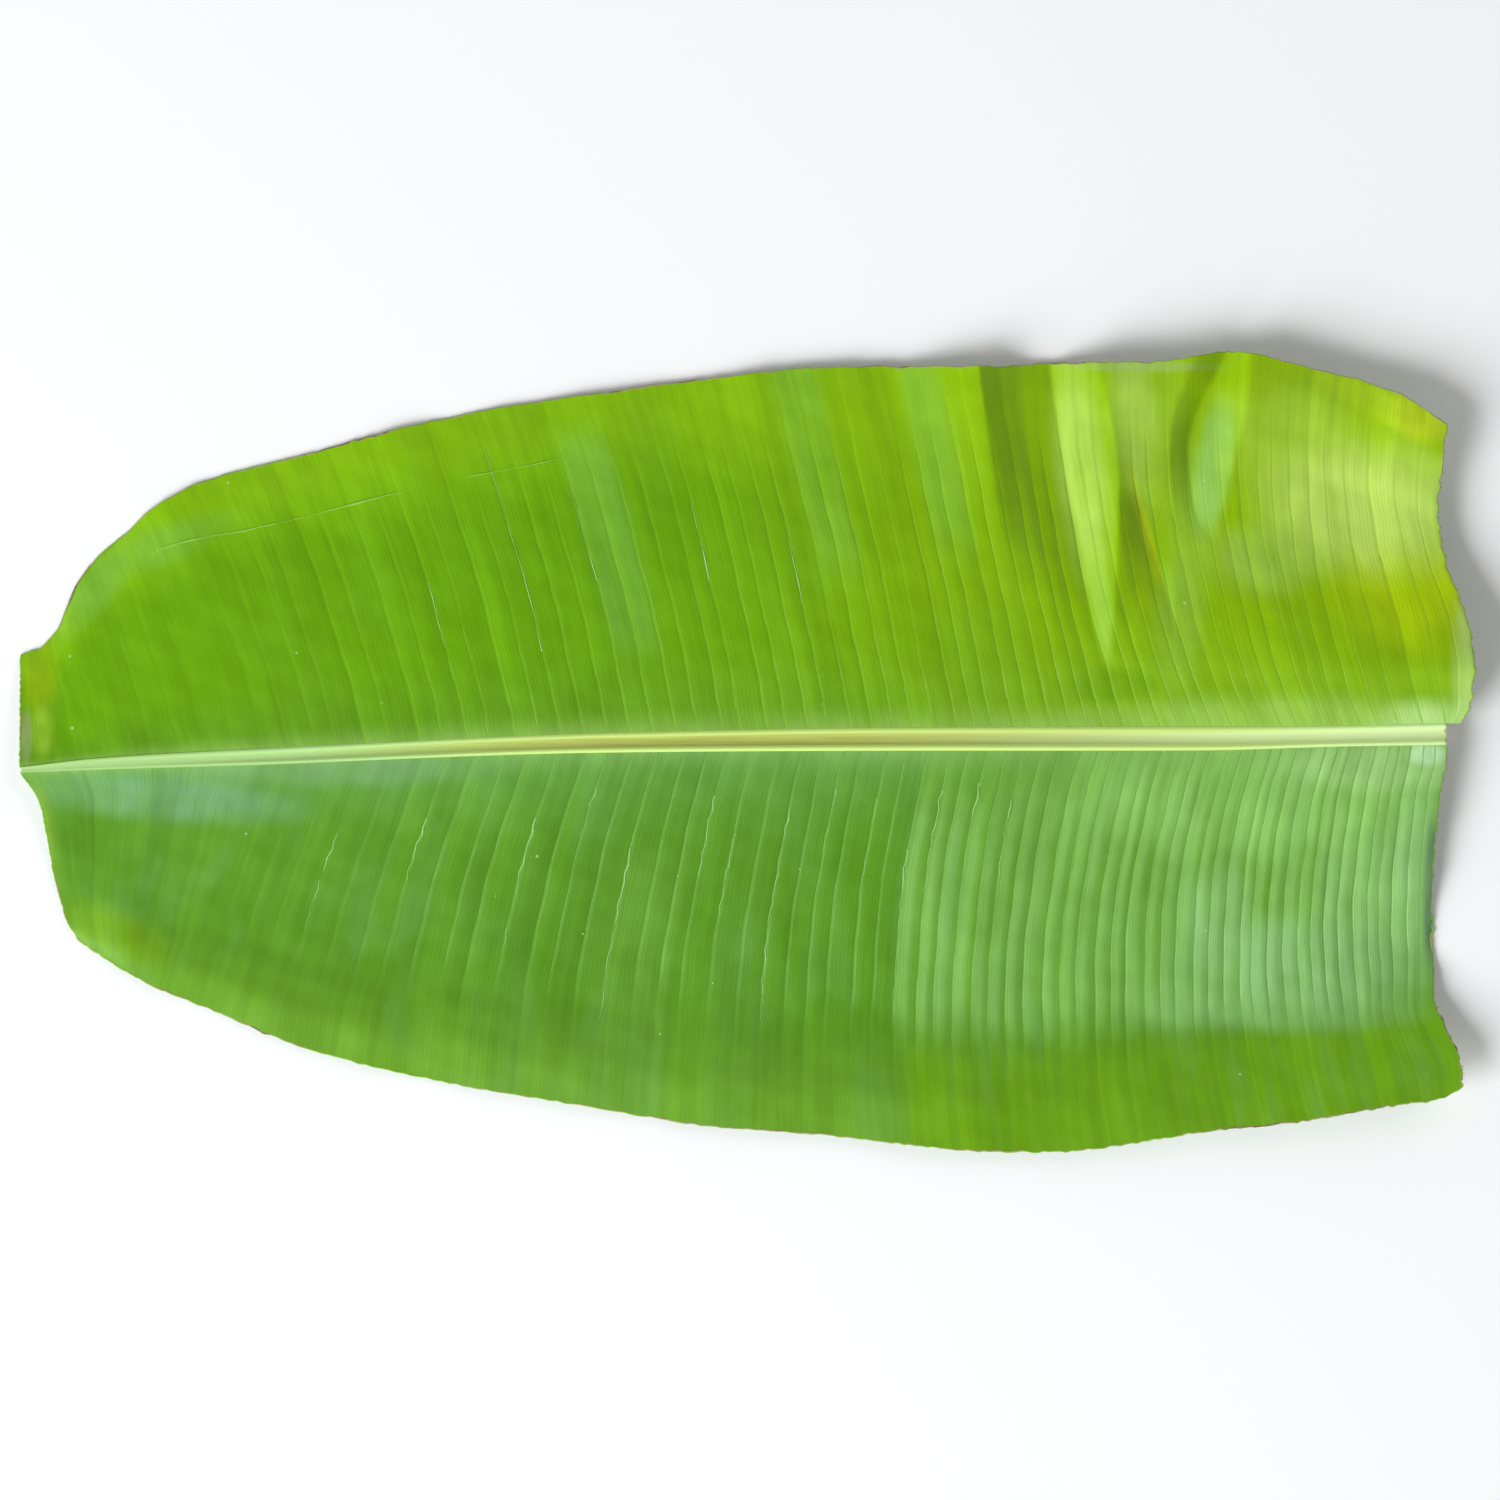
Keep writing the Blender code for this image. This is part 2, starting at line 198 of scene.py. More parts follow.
class FoldLine(NamedTuple):
    """A crease or crest across the far half: its shares v, its place along X, its height."""

    v: tuple
    x: tuple
    height: tuple


# The fold lines near the cut end, from left to right.
FOLD_LINES = (
    FoldLine((0.35, 1), (0.080, 0.060), (0, 0)),
    FoldLine((0.35, 0.46, 0.70, 1), (0.112, 0.109, 0.102, 0.0957), (0, 0.0012, 0.0038, 0.0056)),
    FoldLine((0.35, 0.60, 1), (0.126, 0.1200, 0.1125), (0, -0.0018, -0.0024)),
    FoldLine((0.17, 0.30, 0.60, 1), (0.1465, 0.142, 0.134, 0.1250), (0, -0.0013, -0.0036, -0.0046)),
    FoldLine((0.15, 0.30, 0.51, 0.625, 0.76, 1), (0.1490, 0.1512, 0.1530, 0.1536, 0.1524, 0.1450),
             (0, 0.0026, 0.0046, 0.0062, 0.0058, 0.0046)),
    FoldLine((0.10, 0.17, 0.415, 0.60, 0.70, 1), (0.187, 0.1813, 0.1710, 0.1618, 0.1595, 0.157),
             (0, 0, -0.0012, 0.0004, 0.0046, 0.0046)),
    FoldLine((0.60, 0.73, 0.84, 1), (0.176, 0.1745, 0.1758, 0.186), (0, 0.0016, 0.0036, 0.0040)),
    FoldLine((0.50, 0.62, 0.755, 1), (0.1903, 0.184, 0.182, 0.198), (0, -0.0026, -0.0038, -0.0014)),
    FoldLine((0.50, 0.66, 0.82, 1), (0.1935, 0.199, 0.2052, 0.2080), (0, 0.0034, 0.0056, 0.0042)),
    FoldLine((0.45, 0.70, 1), (0.222, 0.238, 0.245), (0, 0, 0)),
)
LEAST_FOLD_WIDTH = 0.003


def smooth_through(stations, values, at):
    """The value at each place of a smooth curve that never swings past its points.

    A value may be a number, or an array with one entry for each place.
    """
    x = np.asarray(stations, float)
    at = np.clip(np.asarray(at, float), x[0], x[-1])
    y = np.stack([np.broadcast_to(value, at.shape) for value in values])
    step = np.diff(x).reshape((-1,) + (1,) * at.ndim)
    slope = np.diff(y, axis=0) / step
    both = slope[:-1] * slope[1:]
    mean = both / np.where(both > 0, (slope[:-1] + slope[1:]) / 2, 1)
    grade = np.concatenate([slope[:1], np.where(both > 0, mean, 0), slope[-1:]])
    k = np.clip(np.searchsorted(x, at, side="right") - 1, 0, len(x) - 2)
    here = (k,) + tuple(np.indices(at.shape))
    after = (k + 1,) + tuple(np.indices(at.shape))
    width = x[k + 1] - x[k]
    f = (at - x[k]) / width
    return (
        y[here] * (1 + 2 * f) * (1 - f) ** 2
        + width * grade[here] * f * (1 - f) ** 2
        + y[after] * f * f * (3 - 2 * f)
        + width * grade[after] * f * f * (f - 1)
    )


def ease(low, high, at):
    """0 before low, 1 after high, with a soft start and end."""
    f = np.clip((at - low) / (high - low), 0, 1)
    return f * f * (3 - 2 * f)


def axis_y(x):
    return smooth_through(AXIS_X, AXIS_Y, x)


def midrib_width(x):
    return smooth_through(AXIS_X, WIDTHS, x)


def keel_height(x):
    return smooth_through(LIFT_X, LIFTS, x)


def midrib_top(x):
    """Height of the midrib's two lips over the table."""
    return keel_height(x) + smooth_through(DEPTH_X, DEPTHS, x)


def vein_foot_x(t):
    """Where on the midrib vein t starts, with t from 0 at the tip to 1 at the cut end."""
    share = SPACING_AT_TIP * t + (1 - SPACING_AT_TIP) * t * t
    return TIP_X + (CUT_X - TIP_X) * share


def fold_height(x, v):
    """Height that the folds near the cut end add to the far half."""
    total = np.zeros_like(x)
    for line, following in zip(FOLD_LINES, FOLD_LINES[1:]):
        left = smooth_through(line.v, line.x, v)
        right = smooth_through(following.v, following.x, v)
        right = np.maximum(right, left + LEAST_FOLD_WIDTH)
        f = (x - left) / (right - left)
        height = smooth_through(line.v, line.height, v) * (1 - f)
        height = height + smooth_through(following.v, following.height, v) * f
        total = np.where((f >= 0) & (f < 1), height, total)
    return total


def slow_waves(x, v, start):
    total = sum(height * np.sin(2 * pi * x / length + phase + start) for length, height, phase in WAVES)
    return total * ease(0.35, 1, v)


def ripples(x, y):
    return sum(
        height * np.sin(2 * pi * (x * cos(heading) + y * sin(heading)) / length)
        for length, heading, height in RIPPLES
    )


def per_vein(half, seed, spread):
    """A seeded number for each vein of a half, with none at the tip's edge and the cut."""
    numbers = np.random.default_rng(seed + half.side).normal(0, spread, VEINS_A_SIDE + 1)
    numbers[[0, -1]] = 0
    return numbers


def between_veins(vein, numbers):
    return np.interp(vein, np.arange(VEINS_A_SIDE + 1), numbers)


def ragged(seed, reach, steps, at):
    """Seeded jags along an edge, for places at from 0 to 1."""
    jags = np.random.default_rng(seed).normal(0, reach, steps + 1)
    return np.interp(at, np.linspace(0, 1, steps + 1), np.clip(jags, -2 * reach, 2 * reach))


def arches(half, vein, v):
    """How the blade arches up between its veins, each of which lies in a sharp groove."""
    crest = np.abs(np.sin(pi * vein)) ** ARCH_ROUNDNESS - 0.5
    fade = ease(0, 0.1, v) * (1 - 0.9 * ease(0.62, 0.85, v)) * (0.3 + 0.7 * ease(4, 16, vein))
    strength = smooth_through(ALONG, half.arching, vein / VEINS_A_SIDE)
    strength = strength * (1 + between_veins(vein, per_vein(half, ARCH_SEED, ARCH_SPREAD)))
    return ARCH_HEIGHT * crest * fade * strength


def cut_shift(half, vein, t, v):
    """How far the wave of the cut carries the blade along X, with the corner cut back."""
    wave = smooth_through(half.cut_v, half.cut_wave, v) * ease(CUT_REACH, 1, t)
    back = smooth_through(half.cut_v[:3], half.corner, v)
    return wave - back * ease(VEINS_A_SIDE - CORNER_PANELS, VEINS_A_SIDE, vein)


def blade_middle(half, vein, v):
    """Points half way through the blade: vein counts from the tip, v from the midrib out."""
    t = (vein + between_veins(vein, per_vein(half, STRAY_SEED, STRAY))) / VEINS_A_SIDE
    t = t + half.crowding * t * (1 - t)
    foot_x = vein_foot_x(t)
    base_x = foot_x + cut_shift(half, vein, t, np.zeros_like(t))
    foot_y = axis_y(base_x) + half.side * (midrib_width(base_x) / 2 - TUCK)
    out_x = foot_x - smooth_through(half.sweep_t, half.sweep, t)
    out_y = smooth_through(half.margin_x, half.margin_y, out_x)
    bow = smooth_through(half.sweep_t, half.bow, t)
    x = foot_x + (out_x - foot_x) * v - bow * 4 * v * (1 - v)
    x = x + smooth_through(half.tip_v, half.tip_wave, v) * (1 - ease(0, TIP_REACH, t))
    x = x + cut_shift(half, vein, t, v)
    inside = ease(0, 0.02, t) * ease(0, 0.02, 1 - t) * ease(0, 0.1, v)
    for reach, turns, shift in WAVERS:
        x = x + reach * np.sin(2 * pi * (turns * v + shift * vein)) * inside
    y = foot_y + (out_y - foot_y) * v
    at_cut = ease(VEINS_A_SIDE - 0.4, VEINS_A_SIDE, vein)
    at_tip = ease(0.4, 0, vein)
    jags = ragged(CUT_SEED + half.side, RAGGED_CUT, JAGS_OF_CUT, v)
    x = x + (0.8 * at_cut + 0.3 * at_tip) * jags * ease(0, 0.04, v)
    y = y + ease(0.975, 1, v) * ragged(MARGIN_SEED + half.side, RAGGED_MARGIN, JAGS_OF_MARGIN, t)
    joint = midrib_top(foot_x) - BLADE_THICKNESS
    rows = [smooth_through((0, *half.across), (joint, *row), v) for row in half.heights]
    z = smooth_through(ALONG, rows, t)
    z = z + slow_waves(x, v, half.wave_start) + arches(half, vein, v) + ripples(x, y) * ease(0, 0.1, v)
    if half is FAR:
        z = z + fold_height(x, v)
    else:
        turned = ease(0.12, 0.32, v) * ease(0.72, 0.52, v) * ease(VEINS_A_SIDE - 1, VEINS_A_SIDE, vein)
        z = z - CUT_TURN_DOWN * turned
    return x, y, np.maximum(z, BLADE_THICKNESS / 2)


def add_object(name, data):
    made = bpy.data.objects.new(name, data)
    bpy.context.scene.collection.objects.link(made)
    return made


def add_values(mesh, name, values):
    """Keeps one number for each vertex under a name, for the finishes to read."""
    made = mesh.attributes.new(name, "FLOAT", "POINT")
    made.data.foreach_set("value", np.asarray(values, np.float32).ravel())


def settle_modifiers(piece):
    """Makes what the piece's modifiers show its own plain mesh."""
    graph = bpy.context.evaluated_depsgraph_get()
    mesh = bpy.data.meshes.new_from_object(piece.evaluated_get(graph))
    piece.modifiers.clear()
    piece.data = mesh


def blade_half(name, half, upper, under, rim):
    """One half of the blade as a closed sheet, with the skin below and the rim in their own finish."""
    panels = np.arange(VEINS_A_SIDE)[:, None] + np.array(PANEL_COLUMNS)
    columns = np.append(panels.ravel(), VEINS_A_SIDE)
    rows = np.linspace(0, 1, BLADE_ROWS + 1)
    vein, v = np.meshgrid(columns, rows, indexing="ij")
    points = np.stack(blade_middle(half, vein, v), axis=-1).reshape(-1, 3)
    index = np.arange(vein.size).reshape(vein.shape)
    corners = [index[:-1, :-1], index[1:, :-1], index[1:, 1:], index[:-1, 1:]]
    faces = np.stack(corners[:: half.side], axis=-1).reshape(-1, 4)
    mesh = bpy.data.meshes.new(name)
    mesh.from_pydata(points.tolist(), [], faces.tolist())
    add_values(mesh, "vein", vein)
    add_values(mesh, "outward", v)
    for finish in (upper, under, rim):
        mesh.materials.append(finish)
    sheet = add_object(name, mesh)
    solidify = sheet.modifiers.new("thickness", "SOLIDIFY")
    solidify.thickness = BLADE_THICKNESS
    solidify.offset = 0
    solidify.material_offset = 1
    solidify.material_offset_rim = 2
    settle_modifiers(sheet)
    sheet.data.shade_smooth()
    sheet.data.set_sharp_from_angle(angle=radians(75))
    return sheet


def feed_socket(tree, socket, source):
    """Links another socket, or sets a value. A colour is given without its alpha."""
    if isinstance(source, bpy.types.NodeSocket):
        tree.links.new(source, socket)
    elif source is not None:
        socket.default_value = (*source, 1) if socket.type == "RGBA" else source


def feed(tree, node, **values):
    """Links a node's inputs or sets their values, by name with _ for a space."""
    for label, source in values.items():
        feed_socket(tree, node.inputs[label.replace("_", " ")], source)


def add_node(tree, kind, *sources, **settings):
    """A new node. Sources fill its inputs in order, and settings with a capital fill them by name."""
    made = tree.nodes.new(kind)
    inputs = {name: value for name, value in settings.items() if name[0].isupper()}
    for name, value in settings.items():
        if name not in inputs:
            setattr(made, name, value)
    for socket, source in zip(made.inputs, sources):
        feed_socket(tree, socket, source)
    feed(tree, made, **inputs)
    return made


def calc(tree, operation, *sources):
    return add_node(tree, "ShaderNodeMath", *sources, operation=operation).outputs[0]


def product(tree, value, *factors):
    for factor in factors:
        value = calc(tree, "MULTIPLY", value, factor)
    return value


def combine(tree, operation, *vectors, **settings):
    """The result of a sum with vectors."""
    return add_node(tree, "ShaderNodeVectorMath", *vectors, operation=operation, **settings).outputs[0]


def blend_range(tree, value, low, high, start=0.0, end=1.0):
    """Start below low, end above high, with a soft change between."""
    return add_node(
        tree, "ShaderNodeMapRange", value, low, high, start, end, interpolation_type="SMOOTHSTEP"
    ).outputs["Result"]


def mix_colours(tree, share, one, other, blend="MIX"):
    return add_node(
        tree, "ShaderNodeMix", share, *[None] * 5, one, other, data_type="RGBA", blend_type=blend
    ).outputs[2]


def noise(tree, place, scale, detail=3.0, roughness=0.6):
    return add_node(tree, "ShaderNodeTexNoise", place, None, scale, detail, roughness).outputs["Fac"]


def read_value(tree, name):
    """One of the numbers kept on the mesh."""
    return add_node(tree, "ShaderNodeAttribute", attribute_name=name).outputs["Fac"]


def read_place(tree):
    return add_node(tree, "ShaderNodeTexCoord").outputs["Object"]


def new_group(name, inputs, outputs):
    """A shader node group with named sockets. Gives the group, what it is given, and its end."""
    group = bpy.data.node_groups.new(name, "ShaderNodeTree")
    for label, value in inputs.items():
        kind = "NodeSocketVector" if isinstance(value, tuple) else "NodeSocketFloat"
        group.interface.new_socket(label, in_out="INPUT", socket_type=kind).default_value = value
    for label in outputs:
        group.interface.new_socket(label, in_out="OUTPUT", socket_type="NodeSocketFloat")
    return group, add_node(group, "NodeGroupInput").outputs, add_node(group, "NodeGroupOutput")


def place_group(tree, group, **values):
    return add_node(tree, "ShaderNodeGroup", node_tree=group, **values).outputs


def new_finish(name, roughness, specular=0.5):
    """A new material. Gives it, its node tree and its shader."""
    finish = bpy.data.materials.new(name)
    finish.use_nodes = True
    shader = finish.node_tree.nodes["Principled BSDF"]
    feed(finish.node_tree, shader, Roughness=roughness, Specular_IOR_Level=specular)
    return finish, finish.node_tree, shader


RELIEF_DEPTH = 0.0002


def add_relief(tree, shader, height, strength):
    """Fine relief that shows in the light alone."""
    bump = add_node(tree, "ShaderNodeBump", Strength=strength, Distance=RELIEF_DEPTH, Height=height)
    feed(tree, shader, Normal=bump.outputs["Normal"])


FINE_VEINS = 7


def make_vein_pattern():
    """The pattern that a leaf's veins make, from the numbers kept on the blade's mesh."""
    group, given, out = new_group(
        "vein pattern", {"Vein": 0.0, "Outward": 0.0, "Line Width": 0.10},
        ("Line", "Fine", "Panel", "Crest", "Height"),
    )
    place = calc(group, "FRACT", given["Vein"])
    from_middle = calc(group, "ABSOLUTE", calc(group, "SUBTRACT", place, 0.5))
    from_vein = calc(group, "SUBTRACT", 0.5, from_middle)
    line = blend_range(group, from_vein, 0.0, given["Line Width"], 1.0, 0.0)
    panel = add_node(
        group, "ShaderNodeTexWhiteNoise", None, calc(group, "FLOOR", given["Vein"]), noise_dimensions="1D"
    )
    wander = add_node(
        group, "ShaderNodeTexNoise", None, product(group, given["Outward"], 9.0), 1.0, noise_dimensions="1D"
    )
    shifted = calc(group, "MULTIPLY_ADD", wander.outputs["Fac"], 0.12, given["Vein"])
    turns = product(group, shifted, 2 * pi * FINE_VEINS)
    fine = calc(group, "MULTIPLY_ADD", calc(group, "SINE", turns), 0.5, 0.5)
    # The crest of each panel leans to the side of the tip, the flank that faces the softbox; lanes use it
    # to paint a highlight on that flank.
    crest = product(
        group, blend_range(group, place, 0.06, 0.22), blend_range(group, place, 0.42, 0.80, 1.0, 0.0)
    )
    height = calc(group, "MULTIPLY_ADD", line, -1.0, product(group, fine, 0.35))
    feed(group, out, Line=line, Fine=fine, Panel=panel.outputs["Value"], Crest=crest, Height=height)
    return group


def make_bloom():
    """The dusty wax on a leaf: soft patches drawn out along the veins, and small bright dots."""
    group, given, out = new_group(
        "wax bloom", {"Vein": 0.0, "Outward": 0.0, "Position": (0.0, 0.0, 0.0), "Seed": 0.0},
        ("Patches", "Dots", "Mottle", "Streaks", "Grain"),
    )
    along = add_node(
        group, "ShaderNodeCombineXYZ", product(group, given["Vein"], 0.45),
        product(group, given["Outward"], 2.6), given["Seed"],
    ).outputs[0]
    # On the near skin these patches also carry a painted bluish sheen.
    streaks = noise(group, along, 1.0, 3.0, 0.55)
    grain = noise(group, combine(group, "MULTIPLY", along, (5.5, 0.6, 1.0)), 1.0)
    cells = add_node(group, "ShaderNodeTexVoronoi", given["Position"], None, 95.0)
    chosen = add_node(group, "ShaderNodeTexWhiteNoise", cells.outputs["Position"])
    dots = product(
        group, blend_range(group, cells.outputs["Distance"], 0.035, 0.07, 1.0, 0.0),
        blend_range(group, chosen.outputs["Value"], 0.90, 0.93),
    )
    feed(
        group, out, Patches=blend_range(group, streaks, 0.48, 0.72), Dots=dots,
        Mottle=noise(group, given["Position"], 42.0, 4.0), Streaks=streaks, Grain=grain,
    )
    return group


def make_lane():
    """A soft-edged lane of the blade: some panels wide, and from one share outward to another."""
    group, given, out = new_group(
        "lane",
        {"Vein": 0.0, "Outward": 0.0, "First": 0.0, "Last": 1.0, "Start": 0.0, "End": 1.0,
         "Side Softness": 0.4, "End Softness": 0.08},
        ("Mask",),
    )
    mask = 1.0
    for place, low, high, soft in (
        ("Vein", "First", "Last", "Side Softness"), ("Outward", "Start", "End", "End Softness"),
    ):
        for edge, before, after in ((low, 0.0, 1.0), (high, 1.0, 0.0)):
            inner = calc(group, "SUBTRACT", given[edge], given[soft])
            outer = calc(group, "ADD", given[edge], given[soft])
            mask = product(group, mask, blend_range(group, given[place], inner, outer, before, after))
    feed(group, out, Mask=mask)
    return group


def make_patch():
    """A soft oval patch seen from above."""
    group, given, out = new_group(
        "patch",
        {"Position": (0.0, 0.0, 0.0), "Centre": (0.0, 0.0, 0.0), "Radii": (1.0, 1.0, 1.0), "Turn": 0.0},
        ("Mask",),
    )
    turned = add_node(
        group, "ShaderNodeVectorRotate", combine(group, "SUBTRACT", given["Position"], given["Centre"]),
        rotation_type="Z_AXIS", Angle=given["Turn"],
    )
    scaled = combine(group, "DIVIDE", turned.outputs[0], given["Radii"])
    reach = add_node(group, "ShaderNodeVectorMath", scaled, operation="LENGTH").outputs["Value"]
    feed(group, out, Mask=blend_range(group, reach, 0.35, 1.1, 1.0, 0.0))
    return group


vein_pattern = make_vein_pattern()
wax_bloom = make_bloom()
lane = make_lane()
patch = make_patch()
# The oval patches have no bound in height.
PATCH_HEIGHT = 10.0
DOT_COLOUR = (0.55, 0.72, 0.42)


def skin_finish(
    name, *, by_midrib, middle, margin, young, young_share, line, line_share, line_end, bloom_and_sheen,
    bloom_and_sheen_share, seed, roughness, specular, lanes=(), patches=(),
):
    """The waxed skin of the blade: greens that change over the sheet, veins, bloom and dots.

    Young is the colour towards the cut, the younger and yellower end of the sheet. Line_end is
    the share outward by which the veins have faded. The near skin's bloom is partly painted
    sheen, and the lanes and patches give both real tones and painted sheen, highlights and shade.
    """
    finish, tree, shader = new_finish(name, roughness, specular)
    vein = read_value(tree, "vein")
    outward = read_value(tree, "outward")
    place = read_place(tree)
    along = add_node(tree, "ShaderNodeSeparateXYZ", place).outputs["X"]
    veins = place_group(tree, vein_pattern, Vein=vein, Outward=outward)
    wax = place_group(tree, wax_bloom, Vein=vein, Outward=outward, Position=place, Seed=seed)
    green = mix_colours(tree, blend_range(tree, outward, 0.0, 0.30), by_midrib, middle)
    green = mix_colours(tree, blend_range(tree, outward, 0.62, 1.0), green, margin)
    youth = product(
        tree, blend_range(tree, along, -0.08, 0.22), young_share,
        blend_range(tree, outward, 0.0, 0.5, 0.5, 1.0),
    )
    green = mix_colours(tree, youth, green, young)
    broken = blend_range(tree, wax["Streaks"], 0.35, 0.55, 0.6, 1.0)
    # A lane's crests share keeps its colour to the lit flank of each panel: a painted highlight.
    for first, last, start, end, colour, share, crests in lanes:
        mask = place_group(
            tree, lane, Vein=vein, Outward=outward, First=first, Last=last, Start=start, End=end
        )["Mask"]
        kept = calc(tree, "MULTIPLY_ADD", veins["Crest"], crests, 1.0 - crests)
        green = mix_colours(tree, product(tree, mask, broken, share, kept), green, colour)
    for x, y, long, wide, turn, colour, share in patches:
        mask = place_group(
            tree, patch, Position=place, Centre=(x, y, 0), Turn=radians(-turn),
            Radii=(long, wide, PATCH_HEIGHT),
        )["Mask"]
        green = mix_colours(tree, product(tree, mask, broken, share), green, colour)
    tone = product(
        tree, blend_range(tree, wax["Mottle"], 0.3, 0.7, 0.95, 1.05),
        blend_range(tree, wax["Grain"], 0.3, 0.7, 0.93, 1.07),
        blend_range(tree, veins["Panel"], 0.0, 1.0, 0.95, 1.05),
        blend_range(tree, veins["Fine"], 0.0, 1.0, 0.97, 1.03),
    )
    tones = add_node(tree, "ShaderNodeCombineColor", tone, tone, tone).outputs[0]
    green = mix_colours(tree, 1.0, green, tones, "MULTIPLY")
    shown = product(
        tree, blend_range(tree, vein, 7.0, 18.0, 0.15, 1.0),
        blend_range(tree, outward, line_end - 0.25, line_end, 1.0, 0.1),
    )
    green = mix_colours(tree, product(tree, veins["Line"], shown, line_share), green, line)
    # Wax bloom, and on the near skin also a painted bluish sheen.
    green = mix_colours(tree, product(tree, wax["Patches"], bloom_and_sheen_share), green, bloom_and_sheen)
    green = mix_colours(tree, product(tree, wax["Dots"], 0.6), green, DOT_COLOUR)
    rough = blend_range(tree, wax["Mottle"], 0.3, 0.7, roughness - 0.05, roughness + 0.05)
    feed(tree, shader, Base_Color=green, Roughness=rough)
    add_relief(tree, shader, product(tree, veins["Height"], shown), 0.35)
    return finish


# Lanes are runs of panels in another colour: first and last vein, start and end outward,
# colour, share, and how far the colour keeps to the crests of the panels. Patches are oval
# places in another colour: centre, half length, half width, turn in degrees, colour, share.
# Many are painted light: sheen, highlights on lit fold facets, and shade on facets and edges
# turned away from the softbox. The rest are the leaf's own tones.
FAR_LANES = (
    (24, 26, 0.25, 0.88, (0.18, 0.43, 0.06), 0.5, 0),
    (34, 36, 0.45, 1.1, (0.21, 0.47, 0.04), 0.5, 0),
    (40, 42, 0.5, 1.1, (0.22, 0.48, 0.04), 0.5, 0),
    (-1, 70, -1, 0, (0.33, 0.53, 0.13), 1, 0),
    # Painted shadow: a dark sliver where the cut edge is raised off the table.
    (67.8, 70, 0.68, 0.78, (0.06, 0.09, 0.07), 1.6, 0),
)
FAR_PATCHES = (
    # Painted shade below the first fold, near the midrib.
    (0.1503, 0.0277, 0.024, 0.009, 0, (0.12, 0.29, 0.001), 0.8),
    # Painted shade on the first fold's facet turned away from the softbox.
    (0.104, 0.125, 0.01, 0.05, 5, (0.19, 0.37, 0.001), 0.7),
    # Painted light: a lighter colour on the first fold's shaded facet, evening out its shade.
    (0.1606, 0.0794, 0.007, 0.036, 12, (0.25, 0.43, 0.001), 0.8),
    # Painted highlight on the second fold's lit facet.
    (0.1792, 0.11, 0.01, 0.07, 6, (0.3, 0.53, 0.045), 0.5),
    # Painted highlight on the top of the first fold's lit facet.
    (0.161, 0.135, 0.012, 0.045, 8, (0.42, 0.64, 0.09), 0.75),
    # Painted shade on the facet beside the first fold's crest.
    (0.1577, 0.0753, 0.006, 0.036, -6, (0.15, 0.3, 0.001), 0.45),
    (0.165, 0.09, 0.003, 0.034, 15, (0.48, 0.58, 0.01), 0.6),
    (0.276, 0.066, 0.042, 0.03, -15, (0.5, 0.68, 0.001), 0.8),
    # Painted light: a bright band beside the midrib where the blade rises towards the softbox.
    (0.225, 0.012, 0.1, 0.014, 0, (0.33, 0.56, 0.09), 0.6),
    # Painted sheen on the pale band near the far margin.
    (0.225, 0.128, 0.036, 0.03, 0, (0.38, 0.6, 0.05), 0.7),
    # Painted sheen: the pale patch in the upper right, partly the wax's own paleness.
    (0.256, 0.1, 0.052, 0.032, -8, (0.56, 0.78, 0.14), 0.9),
    (0.264, 0.142, 0.04, 0.008, -27, (0.43, 0.64, 0.02), 0.8),
    (0.281, 0.14, 0.018, 0.014, 0, (0.58, 0.74, 0.02), 0.9),
    (0.299, 0.036, 0.01, 0.04, 0, (0.54, 0.76, 0.22), 0.8),
    (0.214, 0.08, 0.03, 0.018, 0, (0.35, 0.57, 0.1), 0.5),
    (0.178, 0.055, 0.012, 0.03, 0, (0.27, 0.5, 0.05), 0.5),
    (0.285, 0.012, 0.03, 0.012, 0, (0.48, 0.72, 0.26), 0.6),
    (0.1627, 0.159, 0.038, 0.0028, 0, (0.37, 0.5, 0.2), 0.4),
    # Painted highlight on the first fold's lit facet.
    (0.138, 0.115, 0.013, 0.056, 6, (0.43, 0.64, 0.1), 0.8),
    (0.1465, 0.06, 0.005, 0.026, 6, (0.3, 0.52, 0.06), 0.6),
    # Painted highlight on the second fold's lit facet.
    (0.1925, 0.1166, 0.009, 0.034, -8, (0.29, 0.56, 0.12), 0.9),
    # Painted sheen: soft gloss near the tip.
    (-0.2694, 0.067, 0.034, 0.01, 50, (0.19, 0.43, 0.045), 0.7),
    # Painted sheen: light reflected near the tip.
    (-0.2425, 0.085, 0.04, 0.01, 20, (0.18, 0.42, 0.04), 0.6),
    (-0.292, 0.03, 0.009, 0.018, 0, (0.27, 0.43, 0.004), 0.8),
    (-0.2913, 0.008, 0.006, 0.013, 0, (0.32, 0.56, 0.04), 0.8),
    (-0.2975, 0.006, 0.003, 0.013, 0, (0.42, 0.36, 0.25), 0.6),
)
NEAR_LANES = (
    (28.6, 34, 0.15, 0.75, (0.09, 0.27, 0.006), 0.5, 0),
    (21.7, 24.5, 0.3, 1.1, (0.145, 0.35, 0.035), 0.5, 0),
    # Partly a lighter tone, partly painted light where the blade slopes towards the softbox.
    (34, 70, -1, 0.7, (0.15, 0.365, 0.03), 0.85, 0),
    # Painted sheen: bluish light on the lit flanks of the panels' crests.
    (34, 70, 0.12, 0.7, (0.235, 0.48, 0.12), 0.6, 0.8),
    (-1, 70, -1, 0, (0.3, 0.53, 0.16), 1, 0),
    (34.5, 70, 0.76, 1.2, (0.15, 0.355, 0.001), 0.9, 0),
    # Painted shade: a dark sliver where the cut edge is turned down, away from the light.
    (67.5, 70, 0.26, 0.6, (0.03, 0.11, 0.07), 2, 0),
)
